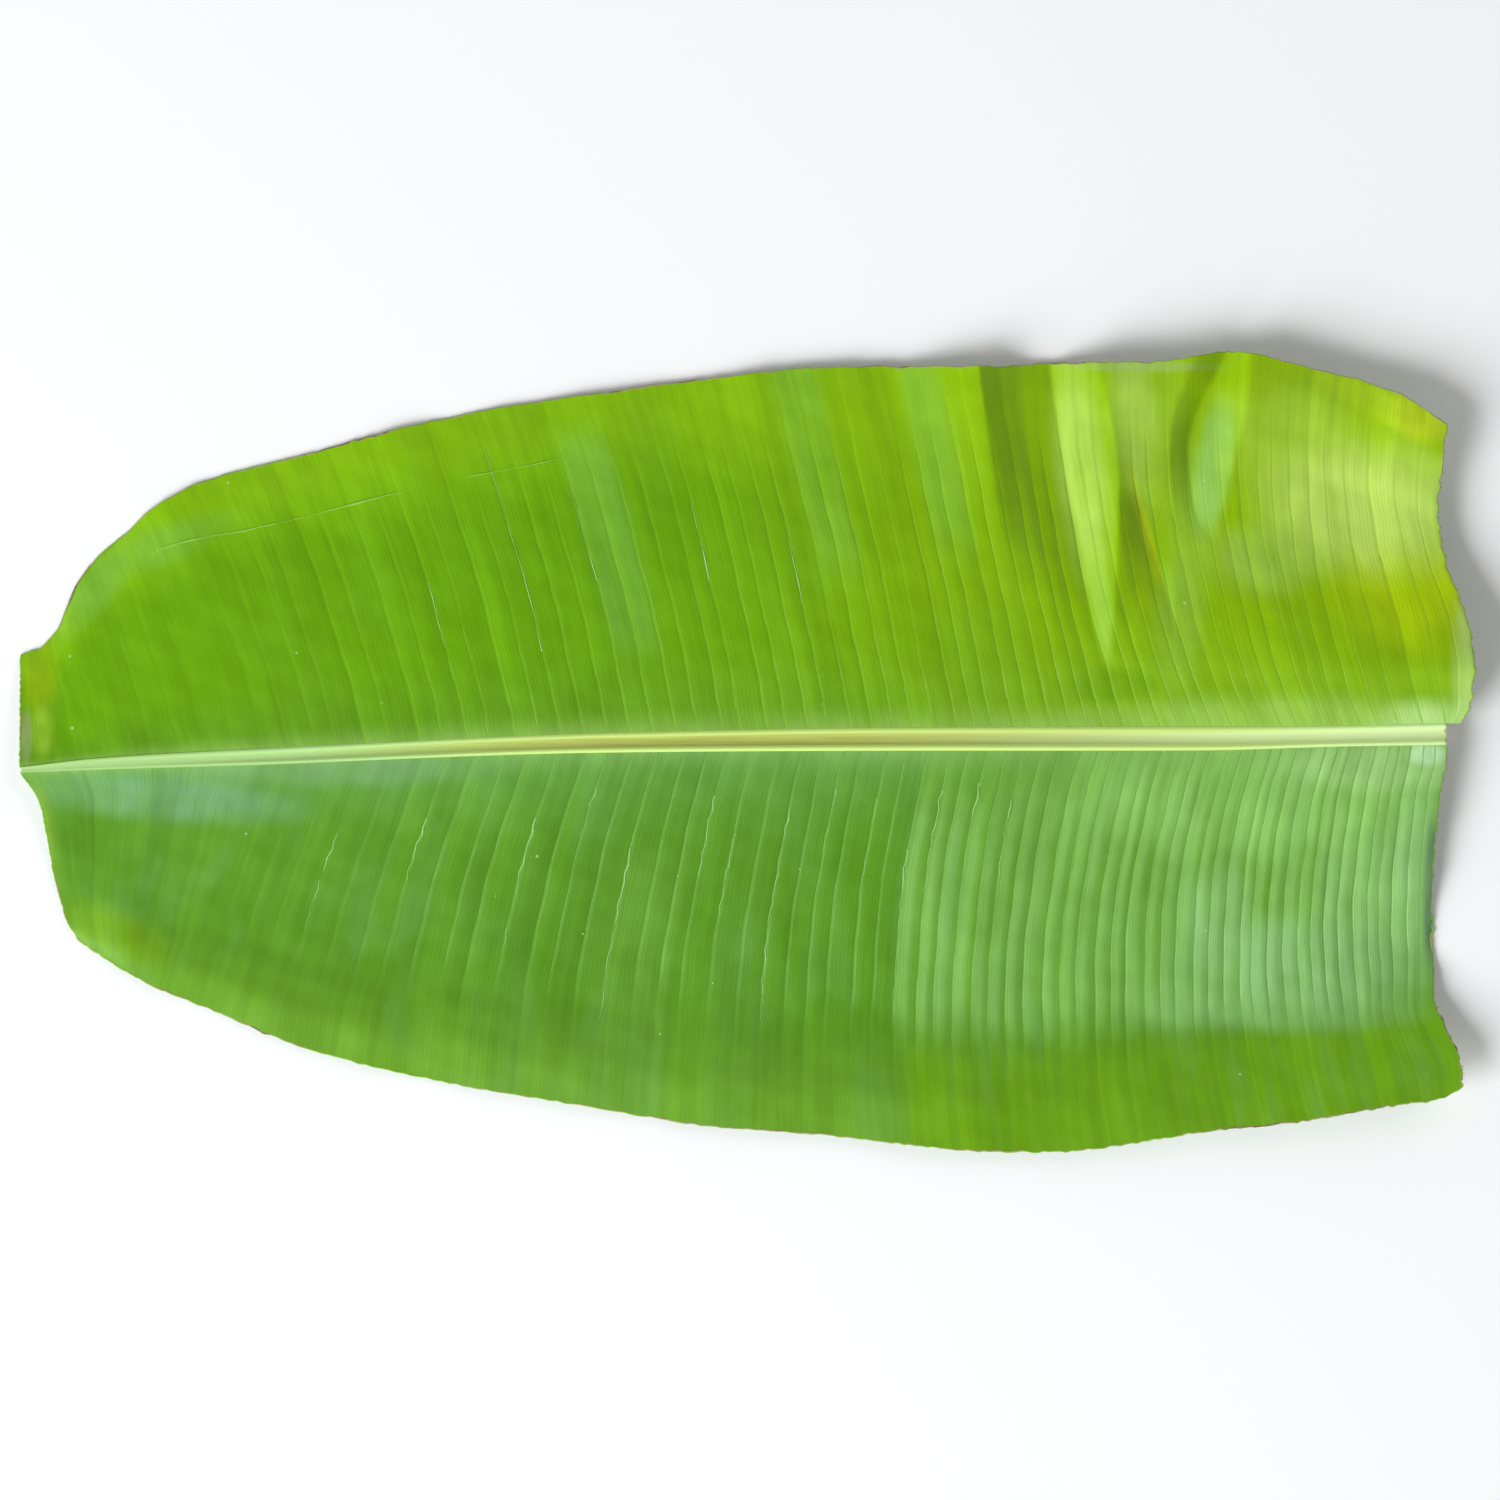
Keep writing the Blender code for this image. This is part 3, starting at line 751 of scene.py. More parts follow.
NEAR_PATCHES = (
    # Painted sheen: bluish light beside the midrib near the tip.
    (-0.238, -0.019, 0.064, 0.012, -4, (0.165, 0.36, 0.15), 0.9),
    # Painted sheen: bluish light beside the midrib.
    (-0.17, -0.007, 0.08, 0.009, 0, (0.185, 0.37, 0.14), 0.7),
    (-0.259, -0.0757, 0.03, 0.012, -25, (0.19, 0.4, 0.01), 0.8),
    (-0.29, -0.0405, 0.007, 0.045, 8, (0.21, 0.4, 0.03), 0.7),
    # Partly a lighter tone, partly painted sheen beside the midrib near the cut.
    (0.21, -0.018, 0.11, 0.03, 0, (0.28, 0.57, 0.125), 0.8),
    # Painted sheen: bluish light on the lower right.
    (0.194, -0.067, 0.018, 0.024, 0, (0.29, 0.53, 0.21), 0.5),
    # Painted sheen: bluish light on the lower right.
    (0.258, -0.06, 0.036, 0.034, 0, (0.27, 0.52, 0.16), 0.6),
    (0.138, -0.08, 0.05, 0.036, 0, (0.15, 0.36, 0.05), 0.35),
    # Painted sheen: bluish light on the lower right ridges.
    (0.237, -0.086, 0.07, 0.022, 0, (0.3, 0.55, 0.24), 0.55),
    # Painted sheen: bluish light on the lower right ridges.
    (0.225, -0.106, 0.065, 0.012, 0, (0.28, 0.53, 0.2), 0.5),
    # Painted sheen: bluish light on the lower right ridges.
    (0.179, -0.104, 0.034, 0.014, 0, (0.25, 0.5, 0.15), 0.35),
    # Painted sheen: bluish light near the cut.
    (0.276, -0.048, 0.013, 0.052, 0, (0.3, 0.57, 0.21), 0.5),
    (0.262, -0.006, 0.052, 0.013, 0, (0.43, 0.68, 0.26), 0.6),
    (0.281, -0.001, 0.01, 0.006, 0, (0.5, 0.78, 0.42), 0.9),
)
far_skin = skin_finish(
    "far upper skin", by_midrib=(0.118, 0.3, 0.01), middle=(0.138, 0.355, 0.003),
    margin=(0.222, 0.47, 0.004), young=(0.3, 0.5, 0.001), young_share=0.75,
    line=(0.2, 0.44, 0.008), line_share=0.3, line_end=0.95, bloom_and_sheen=(0.17, 0.41, 0.02),
    bloom_and_sheen_share=0.2, seed=1.7, roughness=0.44, specular=0.12, lanes=FAR_LANES, patches=FAR_PATCHES,
)
# The near skin's bluish bloom is partly painted sheen, the cool light that its slopes catch.
near_skin = skin_finish(
    "near upper skin", by_midrib=(0.12, 0.325, 0.04), middle=(0.098, 0.275, 0.012),
    margin=(0.148, 0.35, 0.02), young=(0.115, 0.31, 0.014), young_share=0.3,
    line=(0.19, 0.44, 0.07), line_share=0.4, line_end=0.8, bloom_and_sheen=(0.16, 0.39, 0.095),
    bloom_and_sheen_share=0.25, seed=6.1, roughness=0.42, specular=0.25, lanes=NEAR_LANES, patches=NEAR_PATCHES,
)
under_skin = skin_finish(
    "skin below", by_midrib=(0.22, 0.42, 0.11), middle=(0.2, 0.4, 0.09),
    margin=(0.22, 0.43, 0.07), young=(0.28, 0.47, 0.09), young_share=0.5,
    line=(0.33, 0.52, 0.17), line_share=0.7, line_end=1.2, bloom_and_sheen=(0.45, 0.58, 0.4),
    bloom_and_sheen_share=0.45, seed=3.3, roughness=0.55, specular=0.35,
)


def make_rim_finish():
    """The sheet's edge, where the tissue has dried to olive and brown."""
    finish, tree, shader = new_finish("dry rim", 0.7, 0.3)
    patchy = noise(tree, read_place(tree), 130.0)
    colour = mix_colours(tree, blend_range(tree, patchy, 0.4, 0.65), (0.2, 0.3, 0.06), (0.16, 0.11, 0.06))
    feed(tree, shader, Base_Color=colour)
    return finish


rim_finish = make_rim_finish()
for name, half, upper in (("blade_far", FAR, far_skin), ("blade_near", NEAR, near_skin)):
    sheet = blade_half(name, half, upper, under_skin, rim_finish)
    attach(sheet, "root")
    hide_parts("blade")


# Side veins. In the real leaf these are pale strands of vessels in the sheet, which show as
# fine threads in the grooves above and as low ribs below. Each runs from the midrib to the
# margin and thins out on the way.

VEIN_POINTS = 36
VEIN_RADIUS_AT_MIDRIB = 0.00024
VEIN_RADIUS_AT_MARGIN = 0.00012
# How much of a strand's radius stays in the sheet on each half, and how deep a strand lies
# where it doesn't show any more.
FAR_SET_IN = 0.75
NEAR_SET_IN = 0.4
SUNK = 0.0003
STRAND_SIDES = 6
LEAST_STRAND_RADIUS = 0.00003


def new_geometry_tree(name, *sizes):
    """A geometry tree with named sizes and a finish. Gives it and what it is given."""
    tree = bpy.data.node_groups.new(name, "GeometryNodeTree")
    sockets = [("Geometry", "Geometry"), *[(size, "Float") for size in sizes], ("Finish", "Material")]
    for label, kind in sockets:
        tree.interface.new_socket(label, in_out="INPUT", socket_type="NodeSocket" + kind)
    tree.interface.new_socket("Geometry", in_out="OUTPUT", socket_type="NodeSocketGeometry")
    return tree, add_node(tree, "NodeGroupInput").outputs


def end_geometry_tree(tree, given, geometry):
    """Makes what has grown plain and gives it its finish."""
    plain = add_node(tree, "GeometryNodeRealizeInstances", geometry)
    finished = add_node(tree, "GeometryNodeSetMaterial", plain.outputs[0], Material=given["Finish"])
    add_node(tree, "NodeGroupOutput", finished.outputs[0])


def make_strand_tree():
    """Tubes along open lines that thin out, swell and shrink a little, and wander sideways."""
    tree, given = new_geometry_tree(
        "strands", "Start Radius", "End Radius", "Unevenness", "Wander", "Seed"
    )
    outward = add_node(tree, "GeometryNodeInputNamedAttribute", "outward", data_type="FLOAT").outputs[0]
    strand = add_node(tree, "GeometryNodeInputNamedAttribute", "strand", data_type="FLOAT").outputs[0]
    position = add_node(tree, "GeometryNodeInputPosition").outputs[0]
    own = add_node(tree, "ShaderNodeCombineXYZ", given["Seed"], strand).outputs[0]
    uneven = add_node(
        tree, "ShaderNodeTexNoise", combine(tree, "ADD", position, own), None, 90.0, 2.0
    ).outputs
    centred = combine(tree, "SUBTRACT", uneven["Color"], (0.5, 0.5, 0.5))
    wander = combine(tree, "SCALE", centred, Scale=given["Wander"])
    taper = add_node(
        tree, "ShaderNodeMapRange", outward, 0.0, 1.0, given["Start Radius"], given["End Radius"]
    ).outputs["Result"]
    swing = product(tree, calc(tree, "SUBTRACT", uneven["Fac"], 0.5), 2.0)
    swell = calc(tree, "MULTIPLY_ADD", swing, given["Unevenness"], 1.0)
    radius = calc(tree, "MAXIMUM", product(tree, taper, swell), LEAST_STRAND_RADIUS)
    curves = add_node(tree, "GeometryNodeMeshToCurve", given["Geometry"])
    laid = add_node(tree, "GeometryNodeSetPosition", curves.outputs[0], Offset=wander)
    sized = add_node(tree, "GeometryNodeSetCurveRadius", laid.outputs[0], Radius=radius)
    ring = add_node(tree, "GeometryNodeCurvePrimitiveCircle", STRAND_SIDES, mode="RADIUS", Radius=1.0)
    tube = add_node(
        tree, "GeometryNodeCurveToMesh", sized.outputs[0], ring.outputs[0], Scale=radius, Fill_Caps=True
    )
    smooth = add_node(tree, "GeometryNodeSetShadeSmooth", tube.outputs[0])
    end_geometry_tree(tree, given, smooth.outputs[0])
    return tree


strand_tree = make_strand_tree()


def grow(piece, tree, **values):
    """Runs a geometry tree on a piece and keeps the result as its plain mesh."""
    modifier = piece.modifiers.new("grown", "NODES")
    modifier.node_group = tree
    identifiers = {
        item.name: item.identifier for item in tree.interface.items_tree if item.in_out == "INPUT"
    }
    for label, value in values.items():
        modifier[identifiers[label.replace("_", " ")]] = value
    settle_modifiers(piece)
    return piece


def grow_strands(name, lines, finish, start_radius, end_radius, unevenness, wander, seed):
    """One piece of strands. Each line is an array of points and the shares outward of them."""
    edges = []
    start = 0
    for line, _ in lines:
        edges += [(start + k, start + k + 1) for k in range(len(line) - 1)]
        start += len(line)
    mesh = bpy.data.meshes.new(name)
    mesh.from_pydata(np.concatenate([line for line, _ in lines]).tolist(), edges, [])
    add_values(mesh, "outward", np.concatenate([outward for _, outward in lines]))
    add_values(
        mesh, "strand", np.concatenate([np.full(len(line), k) for k, (line, _) in enumerate(lines)])
    )
    strands = grow(
        add_object(name, mesh), strand_tree, Start_Radius=start_radius, End_Radius=end_radius,
        Unevenness=unevenness, Wander=wander, Seed=seed, Finish=finish,
    )
    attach(strands, "root")


def skin_line(half, vein, outward, lift):
    """Points along a vein, a given height over the middle of the sheet."""
    x, y, z = blade_middle(half, np.broadcast_to(float(vein), outward.shape), outward)
    return np.stack([x, y, z + lift], axis=-1), outward


def sinking(half, vein, outward):
    """How far a strand has sunk in the sheet: more towards the margin and near the tip."""
    by_margin = ease(0.55, 0.85, outward) if half is NEAR else 0.6 * ease(0.5, 0.9, outward)
    return np.maximum(by_margin, 1 - ease(8, 18, vein))


def strand_finish(name, pale, green, share):
    """A pale strand that turns as green as the sheet towards the margin."""
    finish, tree, shader = new_finish(name, 0.5, 0.3)
    fade = calc(
        tree, "ADD", blend_range(tree, read_value(tree, "outward"), 0.1, 0.9, 0.0, share),
        blend_range(tree, noise(tree, read_place(tree), 60.0), 0.35, 0.65, 0.0, 1.0 - share),
    )
    feed(tree, shader, Base_Color=mix_colours(tree, fade, pale, green))
    return finish


vein_shares = np.linspace(0.004, 0.992, VEIN_POINTS)
far_strand = strand_finish("far vein strand", (0.225, 0.46, 0.018), (0.17, 0.4, 0.003), 0.7)
near_strand = strand_finish("near vein strand", (0.215, 0.47, 0.09), (0.13, 0.35, 0.03), 0.5)
for name, half, finish, set_in in (
    ("side_veins_far", FAR, far_strand, FAR_SET_IN), ("side_veins_near", NEAR, near_strand, NEAR_SET_IN),
):
    lift = BLADE_THICKNESS / 2 - set_in * VEIN_RADIUS_AT_MIDRIB
    lines = [
        skin_line(half, vein, vein_shares, lift - SUNK * sinking(half, vein, vein_shares))
        for vein in range(1, VEINS_A_SIDE)
    ]
    grow_strands(name, lines, finish, VEIN_RADIUS_AT_MIDRIB, VEIN_RADIUS_AT_MARGIN, 0.8, 0.0004, 2.0)


# Rubbed veins. On the real leaf some veins have been rubbed and shine through pale along part
# of their way, broken up and crooked. A faint crease crosses the far half near the tip, and
# a few dots of thick wax sit on the veins of the near half.

# The vein of each mark, with its start and end outward.
RUBBED_FAR = ((21, 0.26, 0.89), (24, 0.46, 0.78), (29, 0.43, 0.70), (17, 0.30, 0.52), (33, 0.35, 0.62))
RUBBED_NEAR = (
    (11, 0.26, 0.61), (14, 0.20, 0.45), (18, 0.19, 0.59), (20, 0.10, 0.28), (22, 0.27, 0.75),
    (25, 0.12, 0.34), (26, 0.22, 0.50), (28, 0.12, 0.71), (30, 0.10, 0.30), (32, 0.12, 0.42),
    (34, 0.25, 0.70), (35, 0.10, 0.36), (37, 0.08, 0.30), (39, 0.12, 0.33),
)
# Where the near half's marks run crooked: sideways reach, turns and shift for each vein.
CROOKED = ((0.00035, 6.3, 0.29), (0.00022, 11.0, 0.83))
RUBBED_POINTS = 30
CREASE_X = (-0.247, -0.205, -0.150, -0.094, -0.073)
CREASE_OUT = (0.86, 0.80, 0.81, 0.82, 0.83)
CREASE_POINTS = 90
# Dots on the near half: the vein and the share outward of each.
DOTS = (
    (18.0, 0.20), (17.4, 0.43), (24.0, 0.34), (29.0, 0.31), (30.0, 0.21), (20.9, 0.52), (26.1, 0.62),
)
DOT_LENGTH = 0.0006


def rubbed_lines(half, marks, bends):
    """Lines on the skin for marks of a vein, its start and its end outward."""
    lines = []
    for vein, start, end in marks:
        shares = np.linspace(start, end, RUBBED_POINTS)
        line, _ = skin_line(half, vein, shares, BLADE_THICKNESS / 2)
        for reach, turns, shift in bends:
            line[:, 0] += reach * np.sin(2 * pi * (turns * shares * 2 + shift * vein))
        lines.append((line, np.linspace(0, 1, RUBBED_POINTS)))
    return lines


def vein_at(half, x, v):
    """Which vein number passes the place x at each share v."""
    veins = np.linspace(0, VEINS_A_SIDE, 1200)
    passed = [blade_middle(half, veins, np.full(1200, share))[0] for share in v]
    return np.array([np.interp(place, line, veins) for place, line in zip(x, passed)])


def crease_line():
    """The crease on the skin of the far half, through its places along X and outward."""
    x = np.linspace(CREASE_X[0], CREASE_X[-1], CREASE_POINTS)
    v = smooth_through(CREASE_X, CREASE_OUT, x)
    x, y, z = blade_middle(FAR, vein_at(FAR, x, v), v)
    return np.stack([x, y, z + BLADE_THICKNESS / 2], axis=-1), np.linspace(0, 1, CREASE_POINTS)


def dot_lines():
    """Very short lines on the skin, one for each dot."""
    lines = []
    for vein, share in DOTS:
        middle, _ = skin_line(NEAR, vein, np.full(3, share), BLADE_THICKNESS / 2)
        middle[:, 1] += np.linspace(-0.5, 0.5, 3) * DOT_LENGTH
        lines.append((middle, np.linspace(0, 1, 3)))
    return lines


rubbed_finish = strand_finish("rubbed vein", (0.34, 0.6, 0.19), (0.22, 0.48, 0.09), 0.5)
crease_finish = strand_finish("crease", (0.29, 0.56, 0.075), (0.215, 0.47, 0.03), 0.5)
dot_finish = strand_finish("wax dot", (0.62, 0.78, 0.36), (0.5, 0.72, 0.26), 0.5)
for name, lines, radius, finish in (
    ("rubbed_veins_far", rubbed_lines(FAR, RUBBED_FAR, ()), 0.00022, rubbed_finish),
    ("rubbed_veins_near", rubbed_lines(NEAR, RUBBED_NEAR, CROOKED), 0.00023, rubbed_finish),
    ("tip_crease", [crease_line()], 0.00030, crease_finish),
    ("wax_dots", dot_lines(), 0.00042, dot_finish),
):
    grow_strands(name, lines, finish, radius, 0.6 * radius, 2.6, 0.0006, 9.0)


# Dry edges. The real leaf's margins end in a thin dried cord, olive to brown, and its cuts are
# browned and leave short fibres of the veins standing out.

MARGIN_POINTS = 900
CUT_POINTS = 220
# No edge lies lower, so that a swollen cord still clears the table.
LEAST_EDGE_HEIGHT = 0.0009
FIBRES_A_CUT = 46
FIBRE_SEED = 61


def edge_line(half, vein, outward):
    """Points along an edge of the sheet's middle surface, and the share of the way along it."""
    x, y, z = blade_middle(half, vein, outward)
    return np.stack([x, y, np.maximum(z, LEAST_EDGE_HEIGHT)], axis=-1), np.linspace(0, 1, len(x))


def fibre_lines(half):
    """Short fibres that stand out of the cut edge, each bent its own way."""
    rng = np.random.default_rng(FIBRE_SEED + half.side)
    shares = np.sort(rng.uniform(0.03, 0.98, FIBRES_A_CUT))
    starts, _ = edge_line(half, np.full(FIBRES_A_CUT, float(VEINS_A_SIDE)), shares)
    lines = []
    for start in starts:
        out = np.array([rng.uniform(0.0004, 0.0016), 0, 0])
        side = np.array([0, *rng.normal(0, 0.0004, 2)])
        way = np.linspace(-0.4, 1, 6)[:, None]
        lines.append((start + way * out + way**2 * side, np.linspace(0, 1, 6)))
    return lines


def make_dry_finish():
    """Dried cord: olive green, tan and brown by turns along its length."""
    finish, tree, shader = new_finish("dried edge", 0.7, 0.2)
    place = read_place(tree)
    wide = noise(tree, place, 26.0, 2.0, 0.5)
    dried = calc(tree, "MULTIPLY_ADD", noise(tree, place, 220.0), 0.5, product(tree, wide, 0.75))
    colour = mix_colours(tree, blend_range(tree, dried, 0.52, 0.66), (0.2, 0.4, 0.03), (0.33, 0.34, 0.12))
    colour = mix_colours(tree, blend_range(tree, dried, 0.66, 0.80), colour, (0.2, 0.11, 0.07))
    feed(tree, shader, Base_Color=colour)
    return finish


dry_finish = make_dry_finish()
all_veins = np.linspace(0, VEINS_A_SIDE, MARGIN_POINTS)
across_cut = np.linspace(0.01, 1, CUT_POINTS)
margins = [edge_line(half, all_veins, np.ones(MARGIN_POINTS)) for half in (FAR, NEAR)]
cuts = [
    edge_line(half, np.full(CUT_POINTS, float(vein)), across_cut)
    for half in (FAR, NEAR) for vein in (0, VEINS_A_SIDE)
]
for name, lines, radius, end_radius in (
    ("margin_cords", margins, 0.00042, 0.00042),
    ("browned_cuts", cuts, 0.00040, 0.00040),
    ("cut_fibres", fibre_lines(FAR) + fibre_lines(NEAR), 0.00016, 0.00005),
):
    grow_strands(name, lines, dry_finish, radius, end_radius, 0.6, 0.0002, 5.0)


# Ribs below. On the underside of the real leaf the side veins stand out as low rounded ribs,
# paler than the sheet.

RIB_RADIUS_AT_MIDRIB = 0.00055
RIB_RADIUS_AT_MARGIN = 0.00018
RIB_POINTS = 30

rib_shares = np.linspace(0.006, 0.985, RIB_POINTS)
rib_radii = np.linspace(RIB_RADIUS_AT_MIDRIB, RIB_RADIUS_AT_MARGIN, RIB_POINTS)
rib_finish = strand_finish("rib below", (0.33, 0.52, 0.17), (0.25, 0.44, 0.1), 0.6)
for name, half in (("ribs_below_far", FAR), ("ribs_below_near", NEAR)):
    lines = []
    for vein in range(1, VEINS_A_SIDE):
        line, shares = skin_line(half, vein, rib_shares, -BLADE_THICKNESS / 2 + 0.25 * rib_radii)
        # A rib is pressed flat against the table where the sheet lies on it.
        line[:, 2] = np.maximum(line[:, 2], 1.3 * rib_radii)
        lines.append((line, shares))
    grow_strands(name, lines, rib_finish, RIB_RADIUS_AT_MIDRIB, RIB_RADIUS_AT_MARGIN, 0.2, 0.0, 4.0)


# Midrib. The real one is a firm fleshy bar, grooved like a gutter above and rounded below. Its
# two lips are pale and its channel tanned, and it was cut square across at the thick end.

MIDRIB_STATIONS = 220
# The top of the section from groove to flank: shares of the half width and of the groove.
OVER = (
    (0.0, -1.0), (0.16, -0.97), (0.32, -0.84), (0.46, -0.52), (0.56, -0.20), (0.64, -0.03),
    (0.68, 0.0), (0.76, -0.03), (0.86, -0.12), (0.95, -0.30), (1.0, -0.45),
)
# How deep the groove is as a share of the width, and half the width of the keel's flat belly.
GROOVE_SHARE = 0.17
FLAT_HALF_WIDTH = 0.0020
TIP_OF_MIDRIB_X = TIP_X + 0.0006


def midrib_ring(x):
    """The midrib's outline at x, as points (y, z) round from the groove."""
    half = float(midrib_width(x)) / 2
    top = float(midrib_top(x))
    keel = float(keel_height(x))
    groove = 2 * half * GROOVE_SHARE * (0.25 + 0.75 * float(ease(-0.27, -0.14, x)))
    over = [(share * half, top + groove * drop) for share, drop in OVER]
    flank = over[-1][1] - keel
    flat = min(FLAT_HALF_WIDTH, 0.55 * half)
    under = [
        (flat + (half - flat) * sin(angle), keel + flank * (1 - cos(angle)))
        for angle in np.linspace(pi / 2, 0, 11)[1:]
    ]
    right = over + under
    return right + [(-y, z) for y, z in right[:0:-1]]


def make_midrib():
    """A bar lofted through its outlines, with the place round it kept for the finish."""
    points = []
    across = []
    for x in np.linspace(TIP_OF_MIDRIB_X, CUT_X, MIDRIB_STATIONS + 1):
        ring = midrib_ring(x)
        points += [(x, float(axis_y(x)) + y, z) for y, z in ring]
        across += [y / (float(midrib_width(x)) / 2) for y, _ in ring]
    count = len(ring)
    faces = [
        [i * count + k, i * count + (k + 1) % count, (i + 1) * count + (k + 1) % count, (i + 1) * count + k]
        for i in range(MIDRIB_STATIONS)
        for k in range(count)
    ]
    faces.append(list(range(count))[::-1])
    faces.append([MIDRIB_STATIONS * count + k for k in range(count)])
    mesh = bpy.data.meshes.new("midrib_bar")
    mesh.from_pydata(points, [], faces)
    add_values(mesh, "across", across)
    top = [1.0 if k < len(OVER) or k > count - len(OVER) else 0.0 for k in range(count)]
    add_values(mesh, "above", top * (MIDRIB_STATIONS + 1))
    mesh.polygons[-1].material_index = 1
    bar = add_object("midrib_bar", mesh)
    mesh.shade_smooth()
    mesh.set_sharp_from_angle(angle=radians(60))
    return bar


def make_midrib_finish():
    """Pale lips, a tanned channel between them, and a paler waxed keel."""
    finish, tree, shader = new_finish("midrib skin", 0.38, 0.5)
    across = read_value(tree, "across")
    place = read_place(tree)
    x = add_node(tree, "ShaderNodeSeparateXYZ", place).outputs["X"]
    stretched = add_node(tree, "ShaderNodeMapping", place, Scale=(18.0, 900.0, 300.0))
    grain = noise(tree, stretched.outputs[0], 1.0)
    side = calc(tree, "ABSOLUTE", across)
    lip = mix_colours(tree, blend_range(tree, across, -0.4, 0.4), (0.65, 0.86, 0.23), (0.53, 0.69, 0.165))
    lip = mix_colours(tree, blend_range(tree, x, -0.20, -0.05, 1.0, 0.0), lip, (0.42, 0.66, 0.23))
    lip = mix_colours(tree, blend_range(tree, x, 0.18, 0.28), lip, (0.64, 0.86, 0.35))
    tan = mix_colours(tree, blend_range(tree, grain, 0.35, 0.65), (0.39, 0.43, 0.075), (0.45, 0.5, 0.11))
    tan = mix_colours(tree, blend_range(tree, x, 0.02, 0.27), tan, (0.66, 0.82, 0.37))
    channel = product(
        tree, blend_range(tree, side, 0.36, 0.56, 1.0, 0.0), blend_range(tree, x, -0.21, -0.05)
    )
    colour = mix_colours(tree, channel, lip, tan)
    shoulder = product(tree, blend_range(tree, side, 0.80, 1.0), 0.55)
    colour = mix_colours(tree, shoulder, colour, (0.2, 0.42, 0.05))
    below = mix_colours(tree, blend_range(tree, grain, 0.3, 0.7), (0.3, 0.47, 0.12), (0.38, 0.54, 0.19))
    colour = mix_colours(tree, read_value(tree, "above"), below, colour)
    near_cut = calc(tree, "MULTIPLY_ADD", noise(tree, place, 420.0), 0.003, x)
    browned = blend_range(tree, near_cut, CUT_X + 0.0003, CUT_X + 0.0015, 0.0, 0.8)
    colour = mix_colours(tree, browned, colour, (0.27, 0.23, 0.15))
    feed(tree, shader, Base_Color=colour)
    add_relief(tree, shader, grain, 0.25)
    return finish


def make_cut_finish():
    """Wet cream tissue that has browned round the rim of the cut."""
    finish, tree, shader = new_finish("cut tissue", 0.45, 0.5)
    side = calc(tree, "ABSOLUTE", read_value(tree, "across"))
    patchy = product(tree, noise(tree, read_place(tree), 500.0), 0.6)
    rim = calc(tree, "MULTIPLY_ADD", side, 0.6, patchy)
    colour = mix_colours(tree, blend_range(tree, rim, 0.45, 0.85), (0.66, 0.68, 0.42), (0.24, 0.17, 0.09))
    feed(tree, shader, Base_Color=colour)
    return finish


# Air channels in the cut face: their spacing, radius and depth, and how far they keep from
# the rim, as a share of the section.
CHANNEL_SPACING = 0.00155
CHANNEL_RADIUS = 0.00052
CHANNEL_DEPTH = 0.004
CHANNEL_ROOM = 0.80
CHANNEL_SIDES = 14
CHANNEL_SEED = 7
LOWEST_CHANNEL = 0.0008
CHANNEL_ROWS = 12
CHANNEL_COLUMNS = 4
# How far apart the honeycomb's rows lie, as a share of the spacing.
ROW_SPACING = 0.87


def inside(outline, y, z):
    """Whether a point lies in a closed outline."""
    crossings = 0
    for (y0, z0), (y1, z1) in zip(outline, outline[1:] + outline[:1]):
        if (z0 > z) != (z1 > z) and y < y0 + (z - z0) * (y1 - y0) / (z1 - z0):
            crossings += 1
    return crossings % 2 == 1


def channel_places():
    """Points of a honeycomb that lie well inside the midrib's cut face."""
    outline = midrib_ring(CUT_X)
    middle_z = sum(z for _, z in outline) / len(outline)
    shrunk = [(y * CHANNEL_ROOM, middle_z + (z - middle_z) * CHANNEL_ROOM) for y, z in outline]
    places = []
    for row in range(CHANNEL_ROWS):
        for column in range(-CHANNEL_COLUMNS, CHANNEL_COLUMNS + 1):
            y = (column + 0.5 * (row % 2)) * CHANNEL_SPACING
            z = LOWEST_CHANNEL + row * CHANNEL_SPACING * ROW_SPACING
            if inside(shrunk, y, z):
                places.append((CUT_X, float(axis_y(CUT_X)) + y, z))
    return places


def make_channel_tree():
    """A short closed rod along X on every point, each of its own size."""
    tree, given = new_geometry_tree("air channels", "Radius", "Depth")
    rod = add_node(
        tree, "GeometryNodeMeshCylinder", CHANNEL_SIDES, Radius=given["Radius"],
        Depth=product(tree, given["Depth"], 2.0),
    )
    sizes = add_node(
        tree, "FunctionNodeRandomValue", None, None, 0.7, 1.2, data_type="FLOAT", Seed=CHANNEL_SEED
    )
    placed = add_node(
        tree, "GeometryNodeInstanceOnPoints", given["Geometry"], None, rod.outputs["Mesh"],
        Rotation=(0.0, pi / 2, 0.0), Scale=sizes.outputs[1],
    )
    end_geometry_tree(tree, given, placed.outputs[0])
    return tree


def cut_channels(bar, finish):
    """Hollows the air channels out of the midrib's cut end."""
    points = bpy.data.meshes.new("channel places")
    points.from_pydata(channel_places(), [], [])
    rods = grow(
        add_object("channel_rods", points), make_channel_tree(),
        Radius=CHANNEL_RADIUS, Depth=CHANNEL_DEPTH, Finish=finish,
    )
    modifier = bar.modifiers.new("channels", "BOOLEAN")
    modifier.operation = "DIFFERENCE"
    modifier.solver = "EXACT"
    modifier.material_mode = "TRANSFER"
    modifier.object = rods
    settle_modifiers(bar)
    bpy.data.objects.remove(rods)


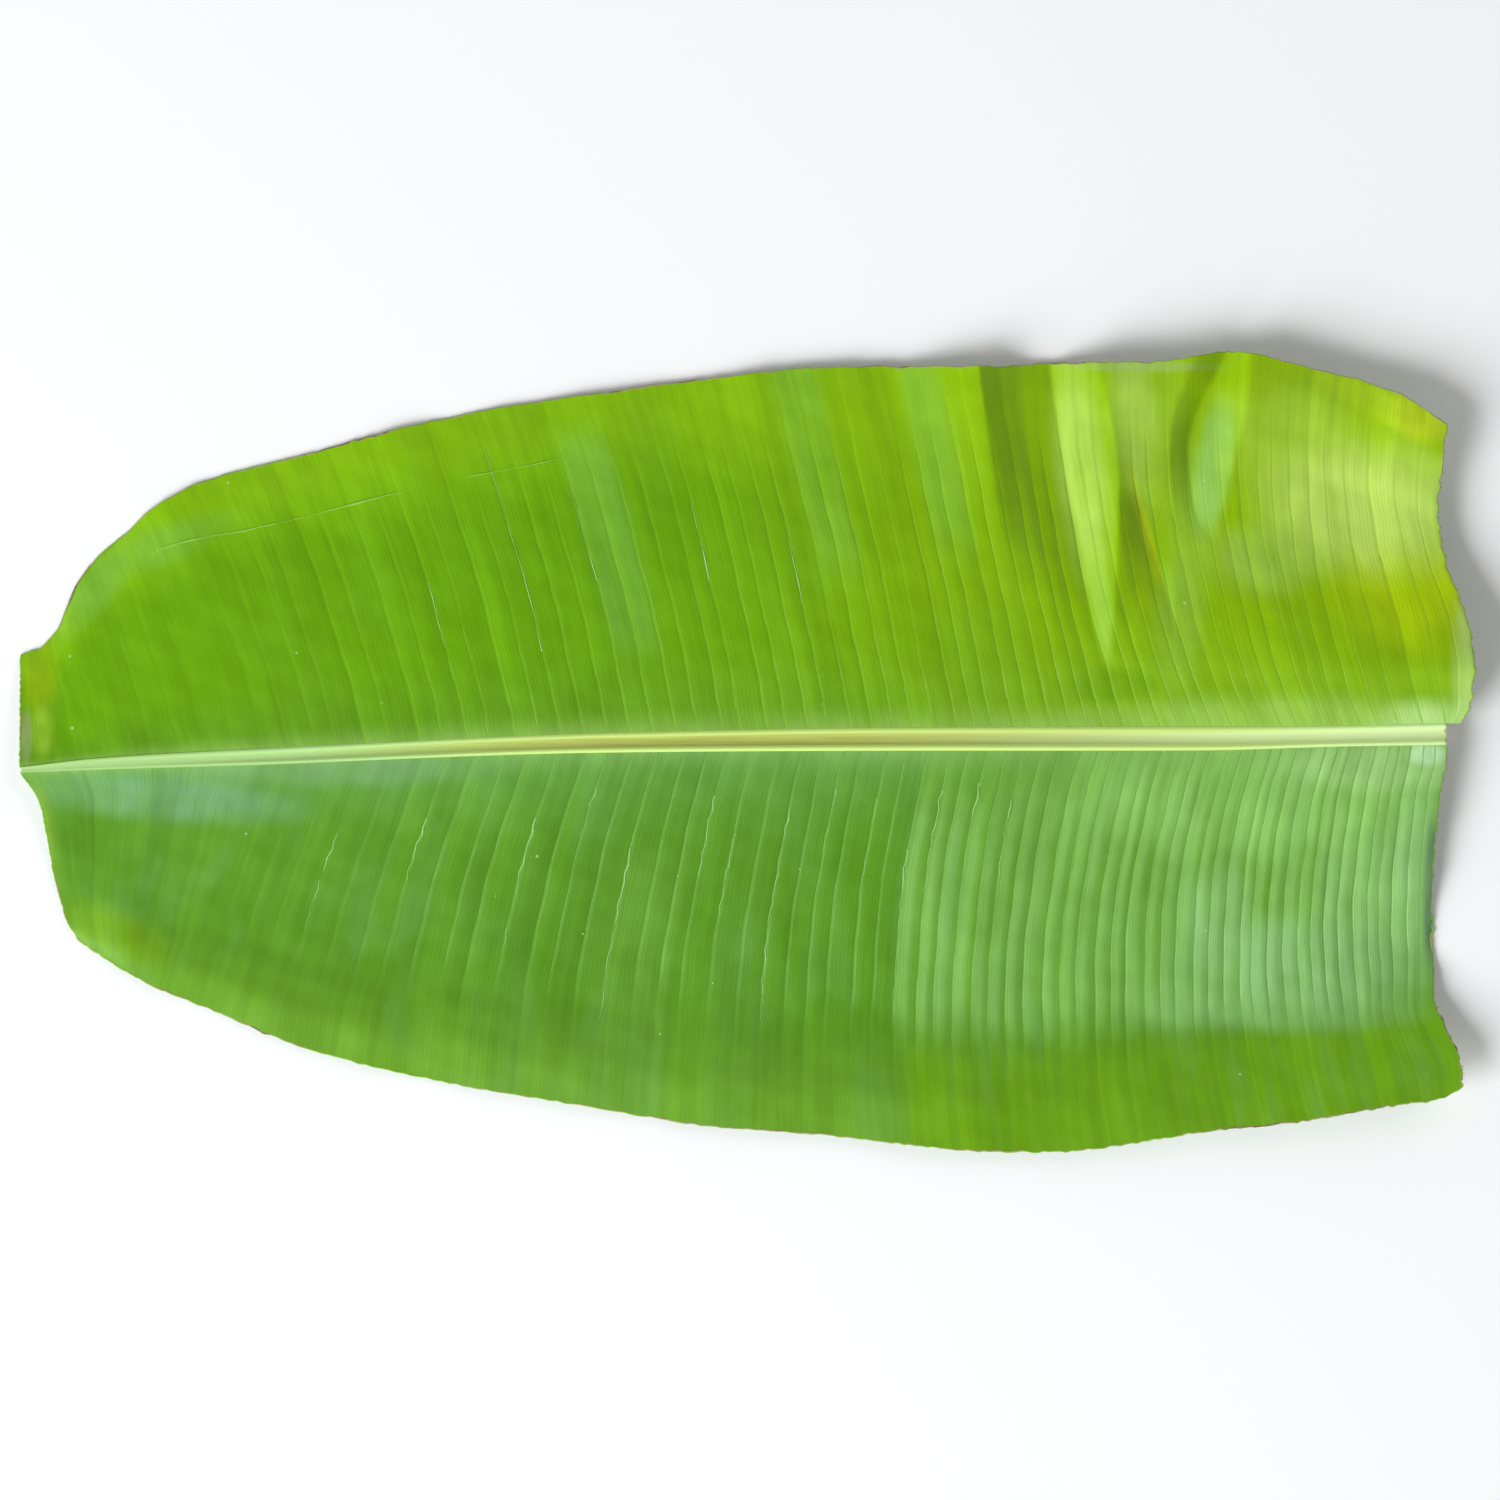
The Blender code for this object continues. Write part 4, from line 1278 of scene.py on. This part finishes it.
midrib = make_midrib()
channel_finish, channel_nodes, channel_shader = new_finish("air channel", 0.7, 0.3)
feed(channel_nodes, channel_shader, Base_Color=(0.3, 0.27, 0.15))
for finish in (make_midrib_finish(), make_cut_finish()):
    midrib.data.materials.append(finish)
cut_channels(midrib, channel_finish)
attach(midrib, "root")
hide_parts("midrib")


# Studio. A pale table, a large cool softbox low at the left in front, and a camera straight
# above the leaf, far away behind a long lens.

VIEW_WIDTH = 0.6203
VIEW_CENTRE = (0.0014, 0.0008)
CAMERA_HEIGHT = 6.0
FLOOR_SIDE = 8.0


def make_floor():
    half = FLOOR_SIDE / 2
    mesh = bpy.data.meshes.new("table")
    corners = [(-half, -half, 0), (half, -half, 0), (half, half, 0), (-half, half, 0)]
    mesh.from_pydata(corners, [], [(0, 1, 2, 3)])
    finish, tree, shader = new_finish("pale table", 0.8, 0.2)
    feed(tree, shader, Base_Color=(0.94, 0.93, 0.92))
    mesh.materials.append(finish)
    return add_object("table", mesh)


def add_softbox(name, place, side, power, colour):
    """A square light that shines on the middle of the leaf."""
    light = bpy.data.lights.new(name, "AREA")
    light.shape = "SQUARE"
    light.size = side
    light.energy = power
    light.color = colour
    lamp = add_object(name, light)
    lamp.location = place
    lamp.rotation_euler = (-Vector(place)).to_track_quat("-Z", "Y").to_euler()


def make_room():
    """Soft light from all round, dim overhead so that flat parts of the leaf don't mirror it."""
    room = bpy.data.worlds.new("room")
    room.use_nodes = True
    tree = room.node_tree
    way = add_node(tree, "ShaderNodeSeparateXYZ", add_node(tree, "ShaderNodeTexCoord").outputs["Generated"])
    up = blend_range(tree, way.outputs["Z"], 0.15, 0.95, 0.74, 0.07)
    feed(tree, tree.nodes["Background"], Color=(0.96, 0.98, 1.0), Strength=up)
    bpy.context.scene.world = room


make_floor()
add_softbox("window", (-2.6, -2.1, 2.1), 2.6, 226.0, (0.93, 0.97, 1.0))
add_softbox("fill", (2.2, 1.6, 2.4), 2.4, 25.0, (1.0, 0.98, 0.95))
make_room()
bpy.context.scene.view_settings.view_transform = "Standard"

camera = add_object("camera", bpy.data.cameras.new("camera"))
camera.data.lens = camera.data.sensor_width * CAMERA_HEIGHT / VIEW_WIDTH
camera.data.clip_end = 20.0
camera.location = (*VIEW_CENTRE, CAMERA_HEIGHT)
bpy.context.scene.camera = camera
